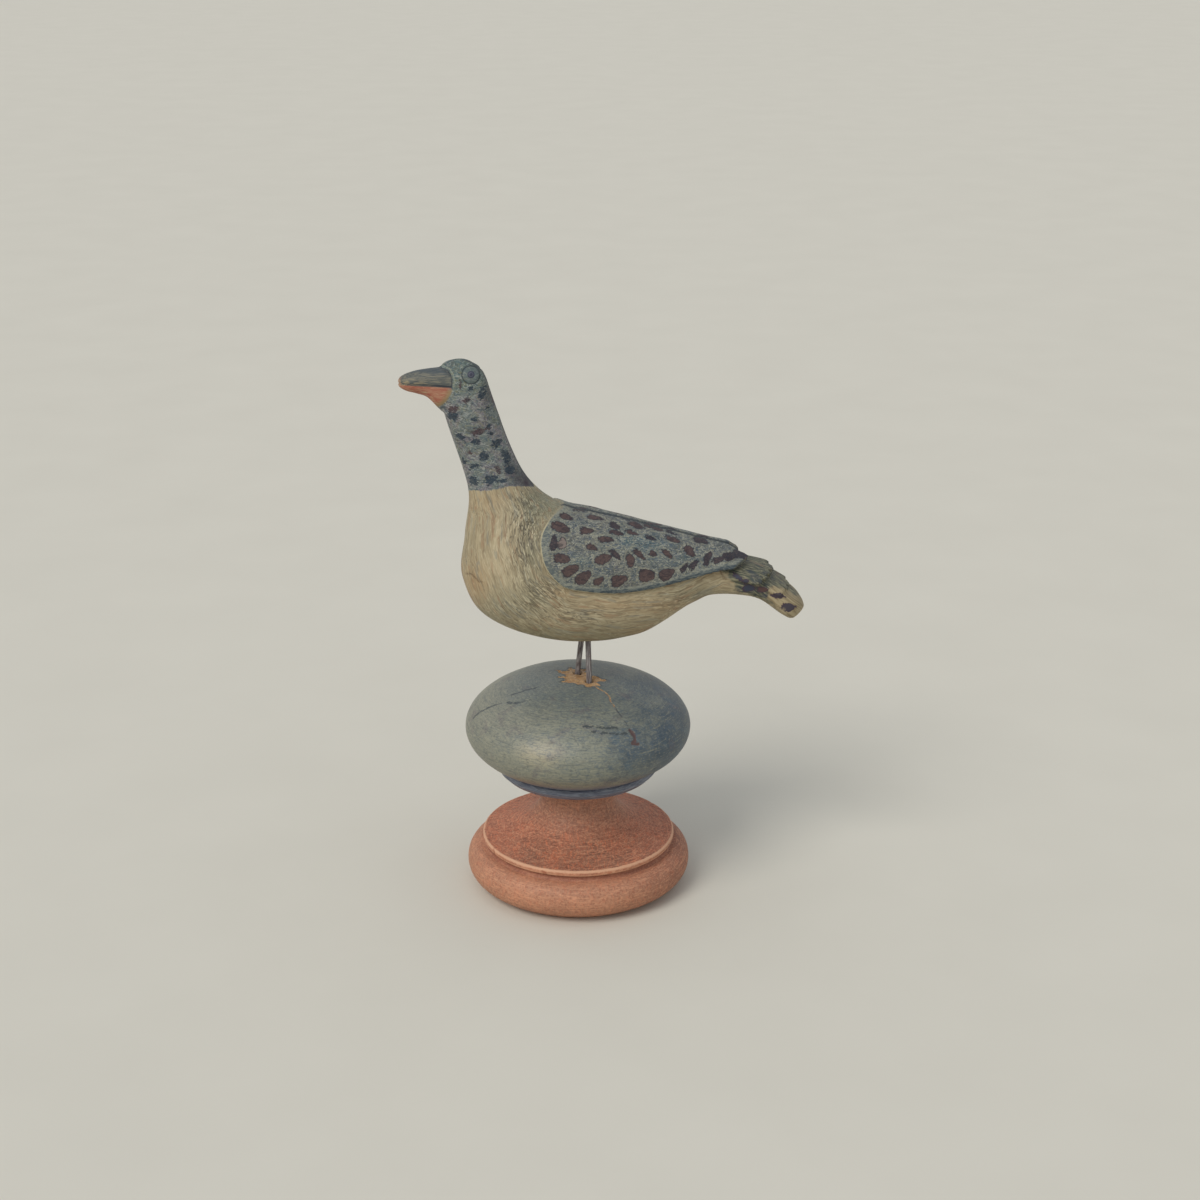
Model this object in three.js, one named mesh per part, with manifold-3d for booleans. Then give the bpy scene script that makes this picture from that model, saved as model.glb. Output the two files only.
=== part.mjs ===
// A carved and painted wooden shorebird on two wire legs, on a turned stand.
// Millimetres, +Z up. The origin is the middle of the stand's flat underside.
// The bird faces -X, so its left side looks along -Y.
import * as THREE from 'three';
import { mergeVertices } from 'three/addons/utils/BufferGeometryUtils.js';
import Module from 'manifold-3d';

const wasm = await Module();
wasm.setup();

// Clear space left between pieces that touch
const GAP = 0.3;

// Turned base: rounded foot, disc with a fillet below its rim, flared neck
const FOOT_RADIUS = 38.4;
const FOOT_CHAMFER = 0.6;
const TORUS_RADIUS = 46;
const TORUS_HEIGHT = 9.6;
const TORUS_TOP = 16.6;
const TORUS_SWELL = 4;
const FILLET_DEPTH = 1.5;
const DISC_RADIUS = 39.6;
const DISC_TOP = 21.5;
const DISC_BAND = 2.5;
const RIM_ROUND = 0.5;
const NECK_RADIUS = 14.9;
const NECK_FLARE_TOP = 40;
const NECK_FLARE_MIDDLE = 26.8;
const DISC_CROWN = 1;
const DISC_CROWN_RADIUS = 30.2;
const NECK_TOP = 48.2;
const TURNING_SIDES = 36;
const CURVE_STEPS = 4;

// Turned ball: a flattened sphere on a low collar
const BALL_RADIUS = 45.9;
const BALL_HALF_HEIGHT = 21.2;
const BALL_CENTRE = 68.9;
const COLLAR_RADIUS = 32.8;
const COLLAR_TOP = 53.9;
const COLLAR_EDGE = 51.2;
const COLLAR_GROOVE = 0.9;
const COLLAR_ROUND = 0.5;
const BALL_STEPS = 13;

// Legs: straight wires, from the middle of the foot to the middle of the top
const LEG_RADIUS = 1.15;
const LEG_SIDES = 14;
const LEG_SINK = 7;
const HOLE_SIDES = 14;
const LEGS = {
  leg_left: { foot: new THREE.Vector3(4.6, -5.2, 90), top: new THREE.Vector3(4.2, -5, 108) },
  leg_right: { foot: new THREE.Vector3(-0.1, 3.4, 90), top: new THREE.Vector3(1.9, 4.6, 108) },
};

// Chords across the bird from the face to the tail tip: x and z on the back,
// x and z on the front or belly, and the half width of the body there.
const BODY_CHORDS = [
  // face, crown and nape
  [-47.6, 221.0, -47.6, 221.0, 0],
  [-43.4, 220.9, -51.3, 219.3, 3.3],
  [-39.3, 219.1, -53.6, 216.0, 5.7],
  [-35.9, 215.5, -53.6, 211.0, 7.5],
  // neck
  [-32.1, 204.7, -51.0, 199.2, 8.5],
  [-24.9, 184.0, -45.3, 180.2, 8.8],
  // breast and shoulders
  [-17.2, 170.6, -42.5, 166.8, 11.8],
  [-6.2, 162.2, -44.4, 150.9, 17.6],
  [5.8, 159.2, -45.7, 133.6, 22.0],
  // belly and back
  [18.4, 156.0, -36.2, 117.0, 23.8],
  [31.6, 152.3, -9.0, 107.3, 22.8],
  [44.8, 148.9, 22.0, 109.2, 18.8],
  // rump
  [57.2, 144.7, 44.0, 122.2, 13.2],
  [62.6, 140.6, 53.8, 126.7, 11.6],
  // tail, bent down
  [74.6, 135.0, 70.0, 125.9, 11.2],
  [86.2, 126.7, 81.2, 118.7, 11.4],
  [89.5, 123.1, 84.8, 116.4, 7.8],
  [90.5, 120.9, 87.2, 117.0, 4.2],
  [89.7, 119.1, 89.7, 119.1, 0],
];
const BODY_RINGS = 46;
const BODY_SIDES = 28;

// Beak, from its blunt tip to its root inside the head
const BEAK_CHORDS = [
  [-69.0, 211.4, -69.0, 211.4, 0],
  [-68.4, 213.5, -67.9, 209.9, 2.2],
  [-66.4, 215.0, -65.2, 208.5, 3.6],
  [-62.0, 216.5, -61.4, 207.6, 4.5],
  [-57.6, 217.2, -57.2, 206.0, 4.9],
  [-50.6, 217.8, -51.4, 200.4, 5.6],
  [-43.0, 217.6, -44.0, 197.0, 6.0],
];
const BEAK_RINGS = 12;
const BEAK_SIDES = 20;

// The edge of the head round the root of the beak, and the line of the mouth
const BEAK_ROOT_LINE = [
  [-54.6, 217.9], [-52, 217.8], [-49.4, 217.4], [-47.9, 216.0],
  [-47.3, 213.2], [-47.8, 209.8], [-50.5, 206.4],
];
const MOUTH_LINE = [[-72, 211.8], [-61, 211.7], [-49, 211.2], [-47.6, 210.9]];
const BEAK_FRONT = -75;
const MOUTH_WIDTH = 0.8;
const MOUTH_DEPTH = 0.5;

// Roundness of the sections: 2 is an ellipse, more is squarer, as on the tail and head
const BODY_ROUNDNESS = 2.15;
const TAIL_SQUARENESS = 0.8;
const TAIL_SQUARE_FROM = 54;
const TAIL_SQUARE_TO = 70;
const HEAD_SQUARENESS = 1.2;
const HEAD_SQUARE_FROM = -30;
const HEAD_SQUARE_TO = -37;
const BEAK_ROUNDNESS = 2;
const BEAK_ROOT_SQUARENESS = 0.9;
const BEAK_SQUARE_FROM = -62;
const BEAK_SQUARE_TO = -51;

// The head narrows by this share from the nape to the face
const FACE_TAPER = 0.24;

// Eye: an incised ring round a small raised pupil, on both sides of the head,
// cut square to the side of the head, which leans in towards the crown
const EYE = [-40.4, 216.3];
const EYE_SIDE = 6.2;
const EYE_LEAN = 15;
const EYE_CUT_DEPTH = 4;
const EYE_RING_RADIUS = 3.5;
const EYE_RING_WIDTH = 0.8;
const EYE_RING_DEPTH = 0.45;
const EYE_RING_STEPS = 10;
const PUPIL_RADIUS = 1.4;
const PUPIL_HEIGHT = 0.35;
const PUPIL_STEPS = 5;

// Folded wings: raised from the body inside this outline in side view, and
// parted along the back, with rounded tips over the root of the tail
const WING_HEIGHT = 1.4;
const WING_TIP_HEIGHT = 4.5;
const WING_EDGE = [
  [-3.5, 163], [-9.6, 161.3], [-13.4, 156.6], [-13.7, 151], [-11.8, 144.4], [-7.5, 138.9],
  [-2.4, 135.9], [9, 134.2], [21.3, 134], [37.1, 136.1], [54.7, 139.4], [60.6, 140],
  [64.8, 140.5], [66.8, 141.6], [67.4, 142.9], [66.1, 144.1], [63.5, 145.9],
];
const WING_TIP_PLAN = [
  [56, 0.6], [62.5, 0.9], [65.8, 1.7], [67.6, 3.2], [67.3, 5.2], [65.6, 7.8], [63.4, 10.6], [60.5, 14],
];
const RIGHT_WING_SHORTER = 0.05;
const BACK_GROOVE = 1.2;
const WING_EDGE_STEPS = 3;

// Room for the cutting shapes to run past the bird
const SIDE_REACH = 40;
const ABOVE_BACK = 175;
const WING_TIP_FROM = 45;
const WING_TIP_TO = 72;
const WING_FRONT = -20;

// Tail feathers: two tiers of rounded ridges that run down the top of the tail
const FEATHERS = 7;
const FEATHER_SPREAD = 1.42;
const FEATHER_STEPS = 4;
const TIERS = [
  { start: 12.9, end: 14.19, slant: 0.34, height: 2.8, ridge: 0.8, rings: 3 },
  { start: 13.6, end: 14.77, slant: 0.27, height: 1.35, ridge: 0.65, rings: 3 },
];
const FEATHER_TIP = 0.24;
const FEATHER_ROOT_DEPTH = 1.5;

// Paints, as the photo shows them
const WOOD_PAINT = { roughness: 0.62, metalness: 0 };
const BIRD_COLOUR = 0x9d9580;
const BALL_COLOUR = 0x6d7f85;
const BASE_COLOUR = 0xb0705a;
const WIRE_COLOUR = 0x5e5560;

// A closed mesh as a solid for cutting and joining
function solidOf(geometry) {
  geometry.deleteAttribute('normal');
  geometry.deleteAttribute('uv');
  const merged = mergeVertices(geometry, 1e-4);
  const corners = Array.from(merged.index.array);
  const kept = [];
  for (let i = 0; i < corners.length; i += 3) {
    const [a, b, c] = corners.slice(i, i + 3);
    if (a !== b && b !== c && c !== a) kept.push(a, b, c);
  }
  const vertProperties = new Float32Array(merged.attributes.position.array);
  const triVerts = new Uint32Array(kept);
  return new wasm.Manifold(new wasm.Mesh({ numProp: 3, vertProperties, triVerts }));
}

// The solid back as a three.js geometry
function geometryOf(solid) {
  const mesh = solid.getMesh();
  const geometry = new THREE.BufferGeometry();
  geometry.setAttribute('position', new THREE.Float32BufferAttribute(mesh.vertProperties, 3));
  geometry.setIndex(Array.from(mesh.triVerts));
  geometry.computeVertexNormals();
  return geometry;
}

// A smooth run through the ends of the chords
function curveThrough(points) {
  return new THREE.CatmullRomCurve3(points, false, 'catmullrom', 0.5);
}

// Reads the section of a form at u, counted in chords
function formOf(chords, roundness, taper = () => 0) {
  const back = curveThrough(chords.map(([x, z, , , half]) => new THREE.Vector3(x, half, z)));
  const belly = curveThrough(chords.map(([, , x, z]) => new THREE.Vector3(x, 0, z)));
  const last = chords.length - 1;
  return {
    last,
    at(u, angle, growth) {
      const t = THREE.MathUtils.clamp(u / last, 0, 1);
      const top = back.getPoint(t);
      const low = belly.getPoint(t);
      const half = Math.max(top.y, 0);
      const middle = new THREE.Vector3((top.x + low.x) / 2, 0, (top.z + low.z) / 2);
      const reach = new THREE.Vector3((top.x - low.x) / 2, 0, (top.z - low.z) / 2);
      const length = reach.length();
      const grow = growth(top.x);
      const power = 2 / roundness(top.x);
      const along = Math.sign(Math.cos(angle)) * Math.abs(Math.cos(angle)) ** power;
      const across = Math.sign(Math.sin(angle)) * Math.abs(Math.sin(angle)) ** power;
      if (length > 0) reach.multiplyScalar((length + grow) / length);
      const point = middle.addScaledVector(reach, along);
      point.y = (half + grow) * across * (1 - (taper(top.x) * (1 - along)) / 2);
      return point;
    },
  };
}

// Closed solid of a form: a point at each end and rings between them
function loft(form, rings, sides, growth) {
  const positions = [];
  const index = [];
  const push = (point) => positions.push(point.x, point.y, point.z);
  push(form.at(0, 0, () => 0));
  for (let ring = 1; ring < rings; ring += 1) {
    for (let side = 0; side < sides; side += 1) {
      push(form.at((form.last * ring) / rings, (2 * Math.PI * side) / sides, growth));
    }
  }
  push(form.at(form.last, 0, () => 0));
  const corner = (ring, side) => 1 + (ring - 1) * sides + (side % sides);
  const endPoint = 1 + (rings - 1) * sides;
  for (let side = 0; side < sides; side += 1) {
    index.push(0, corner(1, side), corner(1, side + 1));
    index.push(endPoint, corner(rings - 1, side + 1), corner(rings - 1, side));
    for (let ring = 1; ring < rings - 1; ring += 1) {
      const a = corner(ring, side);
      const b = corner(ring, side + 1);
      const c = corner(ring + 1, side + 1);
      const d = corner(ring + 1, side);
      index.push(a, d, b, b, d, c);
    }
  }
  const geometry = new THREE.BufferGeometry();
  geometry.setAttribute('position', new THREE.Float32BufferAttribute(positions, 3));
  geometry.setIndex(index);
  return solidOf(geometry);
}

// An outline in side view, x and z, made solid from y = from to y = to
function sidePrism(shape, from, to, curveSegments = 1) {
  const depth = to - from;
  const geometry = new THREE.ExtrudeGeometry(shape, { depth, bevelEnabled: false, curveSegments });
  geometry.rotateX(Math.PI / 2);
  geometry.translate(0, to, 0);
  return solidOf(geometry);
}

// An outline in plan, x and y, made solid up to a height
function planPrism(shape, height) {
  return solidOf(new THREE.ExtrudeGeometry(shape, { depth: height, bevelEnabled: false }));
}

function shapeOf(points) {
  return new THREE.Shape(points.map(([x, y]) => new THREE.Vector2(x, y)));
}

function disc([x, z], radius, holeRadius = 0) {
  const shape = new THREE.Shape().absarc(x, z, radius, 0, 2 * Math.PI, false);
  if (holeRadius > 0) {
    shape.holes.push(new THREE.Path().absarc(x, z, holeRadius, 0, 2 * Math.PI, true));
  }
  return shape;
}

// Closed solid between an outer and an inner sheet of points with equal rows and
// columns. pointAt(layer, column, row) gives them: layer 0 is the outer sheet.
function sheath(columns, rows, pointAt) {
  const positions = [];
  const index = [];
  for (let layer = 0; layer < 2; layer += 1) {
    for (let column = 0; column <= columns; column += 1) {
      for (let row = 0; row <= rows; row += 1) {
        const point = pointAt(layer, column, row);
        positions.push(point.x, point.y, point.z);
      }
    }
  }
  const corner = (layer, column, row) => (layer * (columns + 1) + column) * (rows + 1) + row;
  const quad = (...corners) => {
    const [a, b, c, d] = corners.map((place) => corner(...place));
    index.push(a, b, c, a, c, d);
  };
  for (let i = 0; i < columns; i += 1) {
    for (let j = 0; j < rows; j += 1) {
      quad([0, i, j], [0, i, j + 1], [0, i + 1, j + 1], [0, i + 1, j]);
      quad([1, i, j], [1, i + 1, j], [1, i + 1, j + 1], [1, i, j + 1]);
    }
    quad([0, i, 0], [0, i + 1, 0], [1, i + 1, 0], [1, i, 0]);
    quad([0, i, rows], [1, i, rows], [1, i + 1, rows], [0, i + 1, rows]);
  }
  for (let j = 0; j < rows; j += 1) {
    quad([0, 0, j], [1, 0, j], [1, 0, j + 1], [0, 0, j + 1]);
    quad([0, columns, j], [0, columns, j + 1], [1, columns, j + 1], [1, columns, j]);
  }
  const geometry = new THREE.BufferGeometry();
  geometry.setAttribute('position', new THREE.Float32BufferAttribute(positions, 3));
  geometry.setIndex(index);
  return solidOf(geometry);
}

// One tier of tail feathers: rounded ridges round the top of the tail that rise
// towards staggered round tips
function featherTier(form, tier) {
  const columns = FEATHERS * FEATHER_STEPS;
  return sheath(columns, tier.rings, (layer, column, row) => {
    const angle = FEATHER_SPREAD * ((2 * column) / columns - 1);
    const across = ((column / FEATHER_STEPS) % 1) * 2 - 1;
    const flank = 1 - Math.sqrt(1 - across * across);
    const stagger = (tier.slant * Math.abs(angle)) / FEATHER_SPREAD;
    const end = tier.end - stagger - FEATHER_TIP * flank;
    const run = row / tier.rings;
    const rise = (tier.height - tier.ridge * flank) * run;
    const grow = layer === 0 ? rise : -FEATHER_ROOT_DEPTH;
    return form.at(tier.start + (end - tier.start) * run, angle, () => grow);
  });
}

// Both folded wings, cut out of the body grown by the wing's height
function wings(grownBody) {
  const pads = [-1, 1].map((side) => {
    const length = side < 0 ? 1 : 1 - RIGHT_WING_SHORTER;
    const drawn = ([x, other]) => new THREE.Vector2(x > 0 ? x * length : x, other);
    const edge = WING_EDGE.map(drawn);
    const outline = new THREE.Shape();
    outline.moveTo(edge[0].x, edge[0].y);
    outline.splineThru(edge.slice(1));
    outline.lineTo(edge.at(-1).x, ABOVE_BACK);
    outline.lineTo(edge[0].x, ABOVE_BACK);
    const tip = WING_TIP_PLAN.map(drawn);
    const plan = new THREE.Shape([
      new THREE.Vector2(WING_FRONT, BACK_GROOVE / 2),
      ...tip,
      new THREE.Vector2(tip.at(-1).x, SIDE_REACH),
      new THREE.Vector2(WING_FRONT, SIDE_REACH),
    ].map(({ x, y }) => new THREE.Vector2(x, side * y)));
    const [from, to] = side < 0 ? [-SIDE_REACH, 0] : [0, SIDE_REACH];
    const inOutline = grownBody.intersect(sidePrism(outline, from, to, WING_EDGE_STEPS));
    return inOutline.intersect(planPrism(plan, ABOVE_BACK));
  });
  return pads[0].add(pads[1]);
}

// Rings cut into both sides of the head, with raised pupils in them
function eyes(bird, grownBody, shrunkBody) {
  const [x, z] = EYE;
  const halfWidth = EYE_RING_WIDTH / 2;
  const ring = disc([0, 0], EYE_RING_RADIUS + halfWidth, EYE_RING_RADIUS - halfWidth);
  const pupil = disc([0, 0], PUPIL_RADIUS);
  let result = bird;
  for (const side of [-1, 1]) {
    const [from, to] = side < 0 ? [-SIDE_REACH, EYE_CUT_DEPTH] : [-EYE_CUT_DEPTH, SIDE_REACH];
    const inPlace = (shape, steps) => sidePrism(shape, from, to, steps)
      .rotate([side * EYE_LEAN, 0, 0])
      .translate([x, side * EYE_SIDE, z]);
    result = result.subtract(inPlace(ring, EYE_RING_STEPS).subtract(shrunkBody));
    result = result.add(grownBody.intersect(inPlace(pupil, PUPIL_STEPS)));
  }
  return result;
}

// The head stops in a small step behind the root of the beak
function faceCut() {
  const [, chinZ] = BEAK_ROOT_LINE.at(-1);
  const front = [[BEAK_FRONT, chinZ], [BEAK_FRONT, BEAK_ROOT_LINE[0][1]]];
  return sidePrism(shapeOf([...BEAK_ROOT_LINE, ...front]), -SIDE_REACH, SIDE_REACH);
}

// The mouth, a narrow groove round the beak
function mouthCut(shrunkBeak) {
  const upper = MOUTH_LINE.map(([x, z]) => [x, z + MOUTH_WIDTH / 2]);
  const lower = MOUTH_LINE.map(([x, z]) => [x, z - MOUTH_WIDTH / 2]).reverse();
  return sidePrism(shapeOf([...upper, ...lower]), -SIDE_REACH, SIDE_REACH).subtract(shrunkBeak);
}

// A straight rod between two points, also used as the hole that takes a leg
function rod(from, to, radius, sides) {
  const along = to.clone().sub(from);
  const geometry = new THREE.CylinderGeometry(radius, radius, along.length(), sides);
  geometry.applyQuaternion(new THREE.Quaternion().setFromUnitVectors(
    new THREE.Vector3(0, 1, 0),
    along.clone().normalize(),
  ));
  const middle = from.clone().add(to).multiplyScalar(0.5);
  geometry.translate(middle.x, middle.y, middle.z);
  return geometry;
}

// A leg's axis, lengthened at both ends
function legLine({ foot, top }, extra) {
  const step = top.clone().sub(foot).normalize();
  const reach = LEG_SINK + extra;
  return [foot.clone().addScaledVector(step, -reach), top.clone().addScaledVector(step, reach)];
}

function legHoles(solid) {
  let result = solid;
  for (const leg of Object.values(LEGS)) {
    result = result.subtract(solidOf(rod(...legLine(leg, GAP), LEG_RADIUS + GAP, HOLE_SIDES)));
  }
  return result;
}

function birdSolid() {
  const tailSquare = (x) => THREE.MathUtils.smoothstep(x, TAIL_SQUARE_FROM, TAIL_SQUARE_TO);
  const headSquare = (x) => THREE.MathUtils.smoothstep(-x, -HEAD_SQUARE_FROM, -HEAD_SQUARE_TO);
  const wingTip = (x) => THREE.MathUtils.smoothstep(x, WING_TIP_FROM, WING_TIP_TO);
  const squareness = (x) => TAIL_SQUARENESS * tailSquare(x) + HEAD_SQUARENESS * headSquare(x);
  const faceTaper = (x) => FACE_TAPER * headSquare(x);
  const body = formOf(BODY_CHORDS, (x) => BODY_ROUNDNESS + squareness(x), faceTaper);
  const beakSquare = (x) => THREE.MathUtils.smoothstep(x, BEAK_SQUARE_FROM, BEAK_SQUARE_TO);
  const beak = formOf(BEAK_CHORDS, (x) => BEAK_ROUNDNESS + BEAK_ROOT_SQUARENESS * beakSquare(x));
  const wingGrowth = (x) => WING_HEIGHT + (WING_TIP_HEIGHT - WING_HEIGHT) * wingTip(x);
  const bodyLoft = (growth) => loft(body, BODY_RINGS, BODY_SIDES, growth);
  let bird = bodyLoft(() => 0).add(wings(bodyLoft(wingGrowth)));
  bird = eyes(bird, bodyLoft(() => PUPIL_HEIGHT), bodyLoft(() => -EYE_RING_DEPTH));
  bird = bird.subtract(faceCut());
  const beakLoft = (grow) => loft(beak, BEAK_RINGS, BEAK_SIDES, () => grow);
  bird = bird.add(beakLoft(0).subtract(mouthCut(beakLoft(-MOUTH_DEPTH))));
  for (const tier of TIERS) bird = bird.add(featherTier(body, tier));
  return legHoles(bird);
}

// A turned solid from its profile, r and z, that starts and ends on the axis
function turned(profile) {
  const geometry = new THREE.LatheGeometry(profile, TURNING_SIDES);
  geometry.rotateX(Math.PI / 2);
  return geometry;
}

function ballSolid() {
  const profile = new THREE.Path();
  profile.moveTo(0, NECK_TOP + GAP);
  profile.lineTo(NECK_RADIUS + 1, NECK_TOP + GAP);
  profile.lineTo(COLLAR_RADIUS - 4 * COLLAR_ROUND, NECK_TOP + GAP + COLLAR_ROUND);
  profile.lineTo(COLLAR_RADIUS - COLLAR_ROUND, COLLAR_EDGE - COLLAR_ROUND);
  profile.lineTo(COLLAR_RADIUS, COLLAR_EDGE);
  profile.lineTo(COLLAR_RADIUS, COLLAR_TOP - COLLAR_GROOVE / 2);
  profile.lineTo(COLLAR_RADIUS - COLLAR_GROOVE, COLLAR_TOP);
  const start = Math.asin((COLLAR_TOP + COLLAR_GROOVE / 2 - BALL_CENTRE) / BALL_HALF_HEIGHT);
  const points = profile.getPoints();
  for (let step = 0; step <= BALL_STEPS; step += 1) {
    const angle = start + ((Math.PI / 2 - start) * step) / BALL_STEPS;
    const radius = step === BALL_STEPS ? 0 : BALL_RADIUS * Math.cos(angle);
    points.push(new THREE.Vector2(radius, BALL_CENTRE + BALL_HALF_HEIGHT * Math.sin(angle)));
  }
  return legHoles(solidOf(turned(points)));
}

function baseSolid() {
  const bandBottom = DISC_TOP - DISC_BAND;
  const profile = new THREE.Path();
  profile.moveTo(0, 0);
  profile.lineTo(FOOT_RADIUS - FOOT_CHAMFER, 0);
  profile.lineTo(FOOT_RADIUS, FOOT_CHAMFER);
  profile.bezierCurveTo(
    FOOT_RADIUS + TORUS_SWELL, TORUS_HEIGHT / 4,
    TORUS_RADIUS, TORUS_HEIGHT / 2,
    TORUS_RADIUS, TORUS_HEIGHT,
  );
  profile.bezierCurveTo(
    TORUS_RADIUS, (TORUS_HEIGHT + TORUS_TOP) / 2,
    TORUS_RADIUS - TORUS_SWELL / 2, TORUS_TOP,
    DISC_RADIUS, TORUS_TOP,
  );
  const filletRadius = DISC_RADIUS - FILLET_DEPTH;
  profile.quadraticCurveTo(filletRadius, TORUS_TOP, filletRadius, bandBottom);
  profile.lineTo(DISC_RADIUS - RIM_ROUND / 2, bandBottom);
  profile.lineTo(DISC_RADIUS, DISC_TOP - RIM_ROUND);
  profile.lineTo(DISC_RADIUS - RIM_ROUND, DISC_TOP);
  profile.bezierCurveTo(
    DISC_CROWN_RADIUS, DISC_TOP + DISC_CROWN,
    NECK_RADIUS, NECK_FLARE_MIDDLE,
    NECK_RADIUS, NECK_FLARE_TOP,
  );
  profile.lineTo(NECK_RADIUS, NECK_TOP);
  profile.lineTo(0, NECK_TOP);
  return solidOf(turned(profile.getPoints(CURVE_STEPS)));
}

function paint(color, finish = WOOD_PAINT) {
  return new THREE.MeshStandardMaterial({ color, ...finish });
}

function piece(name, geometry, material) {
  const mesh = new THREE.Mesh(geometry, material);
  mesh.name = name;
  return mesh;
}

const stand = new THREE.Group();
stand.add(piece('stand_base', geometryOf(baseSolid()), paint(BASE_COLOUR)));
stand.add(piece('stand_ball', geometryOf(ballSolid()), paint(BALL_COLOUR)));

const carving = new THREE.Group();
carving.add(piece('bird', geometryOf(birdSolid()), paint(BIRD_COLOUR)));
for (const [name, leg] of Object.entries(LEGS)) {
  const wire = geometryOf(solidOf(rod(...legLine(leg, 0), LEG_RADIUS, LEG_SIDES)));
  carving.add(piece(name, wire, paint(WIRE_COLOUR, { roughness: 0.5, metalness: 0.6 })));
}

const model = new THREE.Group();
model.add(stand, carving);

export default model;
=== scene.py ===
"""A carved and painted wooden shorebird on two wire legs, on a turned stand.

Shapes are worked out in millimetres, +Z up, in the frame of the solids, and go
into the scene in metres. The bird faces -X, and its left side looks along -Y.
"""
import functools
import math

import bpy
import numpy as np
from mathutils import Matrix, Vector, noise
from mathutils.bvhtree import BVHTree


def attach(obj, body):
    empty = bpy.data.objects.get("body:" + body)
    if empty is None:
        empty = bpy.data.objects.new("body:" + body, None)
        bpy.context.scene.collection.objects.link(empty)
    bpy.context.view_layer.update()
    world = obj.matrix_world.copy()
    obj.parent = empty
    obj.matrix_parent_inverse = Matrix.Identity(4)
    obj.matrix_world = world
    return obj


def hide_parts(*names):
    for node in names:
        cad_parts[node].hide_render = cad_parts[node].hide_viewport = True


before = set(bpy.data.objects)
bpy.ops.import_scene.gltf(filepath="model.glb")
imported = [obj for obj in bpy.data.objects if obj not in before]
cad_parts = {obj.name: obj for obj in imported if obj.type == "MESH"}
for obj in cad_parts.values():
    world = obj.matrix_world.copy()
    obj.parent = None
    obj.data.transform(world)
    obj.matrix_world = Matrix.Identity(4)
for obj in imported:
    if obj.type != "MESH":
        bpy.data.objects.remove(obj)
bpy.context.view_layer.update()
MM = 0.001
RNG = np.random.default_rng(11)

# ---------------------------------------------------------------- the view
# A pinhole camera a little above the bird, square to its left side
CAMERA_AT = np.array([9.0, -784.0, 413.0])
CAMERA_AIM = np.array([9.0, 0.0, 122.5])
IMAGE_SIDE = 1200
MM_PER_PIXEL = 0.4
SENSOR = 36.0

AIM_DISTANCE = float(np.linalg.norm(CAMERA_AIM - CAMERA_AT))
FORWARD = (CAMERA_AIM - CAMERA_AT) / AIM_DISTANCE
RIGHT = np.array([1.0, 0.0, 0.0])
UPWARD = np.cross(RIGHT, FORWARD)
FOCAL_PIXELS = AIM_DISTANCE / MM_PER_PIXEL


def picture_place(points):
    """Where points, mirrored to the near side, lie in the picture, in its pixels."""
    ray = points * [1, 0, 1] - np.abs(points) * [0, 1, 0] - CAMERA_AT
    depth = ray @ FORWARD
    half = IMAGE_SIDE / 2
    across = half + FOCAL_PIXELS * (ray @ RIGHT) / depth
    down = half - FOCAL_PIXELS * (ray @ UPWARD) / depth
    return np.stack([across, down], 1)


def look(camera, at, aim):
    camera.location = Vector(at) * MM
    camera.rotation_mode = "QUATERNION"
    camera.rotation_quaternion = (Vector(aim) - Vector(at)).to_track_quat("-Z", "Y")


scene = bpy.context.scene
camera = bpy.data.objects.new("camera", bpy.data.cameras.new("camera"))
scene.collection.objects.link(camera)
camera.data.sensor_width = SENSOR
camera.data.lens = FOCAL_PIXELS / IMAGE_SIDE * SENSOR
camera.data.clip_start = 0.05
camera.data.clip_end = 40
look(camera, CAMERA_AT, CAMERA_AIM)
scene.camera = camera
scene.view_settings.view_transform = "Standard"

# ---------------------------------------------------------------- lights
KEY_FROM = (-455, -539, 708)
KEY_SPREAD = math.radians(30)
KEY_STRENGTH = 1.5
KEY_COLOUR = (1.0, 0.97, 0.92)
SKY = (0.53, 0.555, 0.59, 1)
HORIZON = (0.60, 0.572, 0.488, 1)
SKY_ABOVE = 0.4  # height on the dome where the horizon tone has gone

key = bpy.data.objects.new("key", bpy.data.lights.new("key", "SUN"))
key.data.angle, key.data.energy, key.data.color = KEY_SPREAD, KEY_STRENGTH, KEY_COLOUR
scene.collection.objects.link(key)
look(key, KEY_FROM, (0, 0, 0))
scene.world = bpy.data.worlds.new("studio")
scene.world.use_nodes = True
studio = scene.world.node_tree
heights = studio.nodes.new("ShaderNodeSeparateXYZ")
shades = studio.nodes.new("ShaderNodeValToRGB")
shades.color_ramp.elements[0].color, shades.color_ramp.elements[1].color = HORIZON, SKY
shades.color_ramp.elements[1].position = SKY_ABOVE
studio.links.new(studio.nodes.new("ShaderNodeTexCoord").outputs["Generated"], heights.inputs[0])
studio.links.new(heights.outputs["Z"], shades.inputs[0])
studio.links.new(shades.outputs[0], studio.nodes["Background"].inputs["Color"])


# ---------------------------------------------------------------- curves and fields
def catmull(points, u):
    """A uniform Catmull-Rom run through the rows of points, u counted in rows."""
    p = np.asarray(points, float)
    last = len(p) - 1
    p = np.vstack([2 * p[0] - p[1], p, 2 * p[-1] - p[-2]])
    u = np.clip(u, 0, last)
    i = np.minimum(u.astype(int), last - 1)
    t = (u - i)[:, None]
    a, b, c, d = p[i], p[i + 1], p[i + 2], p[i + 3]
    return b + 0.5 * t * (c - a + t * (2 * a - 5 * b + 4 * c - d + t * (3 * (b - c) + d - a)))


def smooth(x, low, high):
    t = np.clip((x - low) / (high - low), 0, 1)
    return t * t * (3 - 2 * t)


def bump(distance, width):
    return np.exp(-((distance / width) ** 2))


def wobble(points, size, seed=0.0):
    """Smooth noise from -1 to 1 at these points, with lumps of this size."""
    q = points / size + seed * 7.31
    return np.array([noise.noise(p) for p in q.tolist()])


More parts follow.
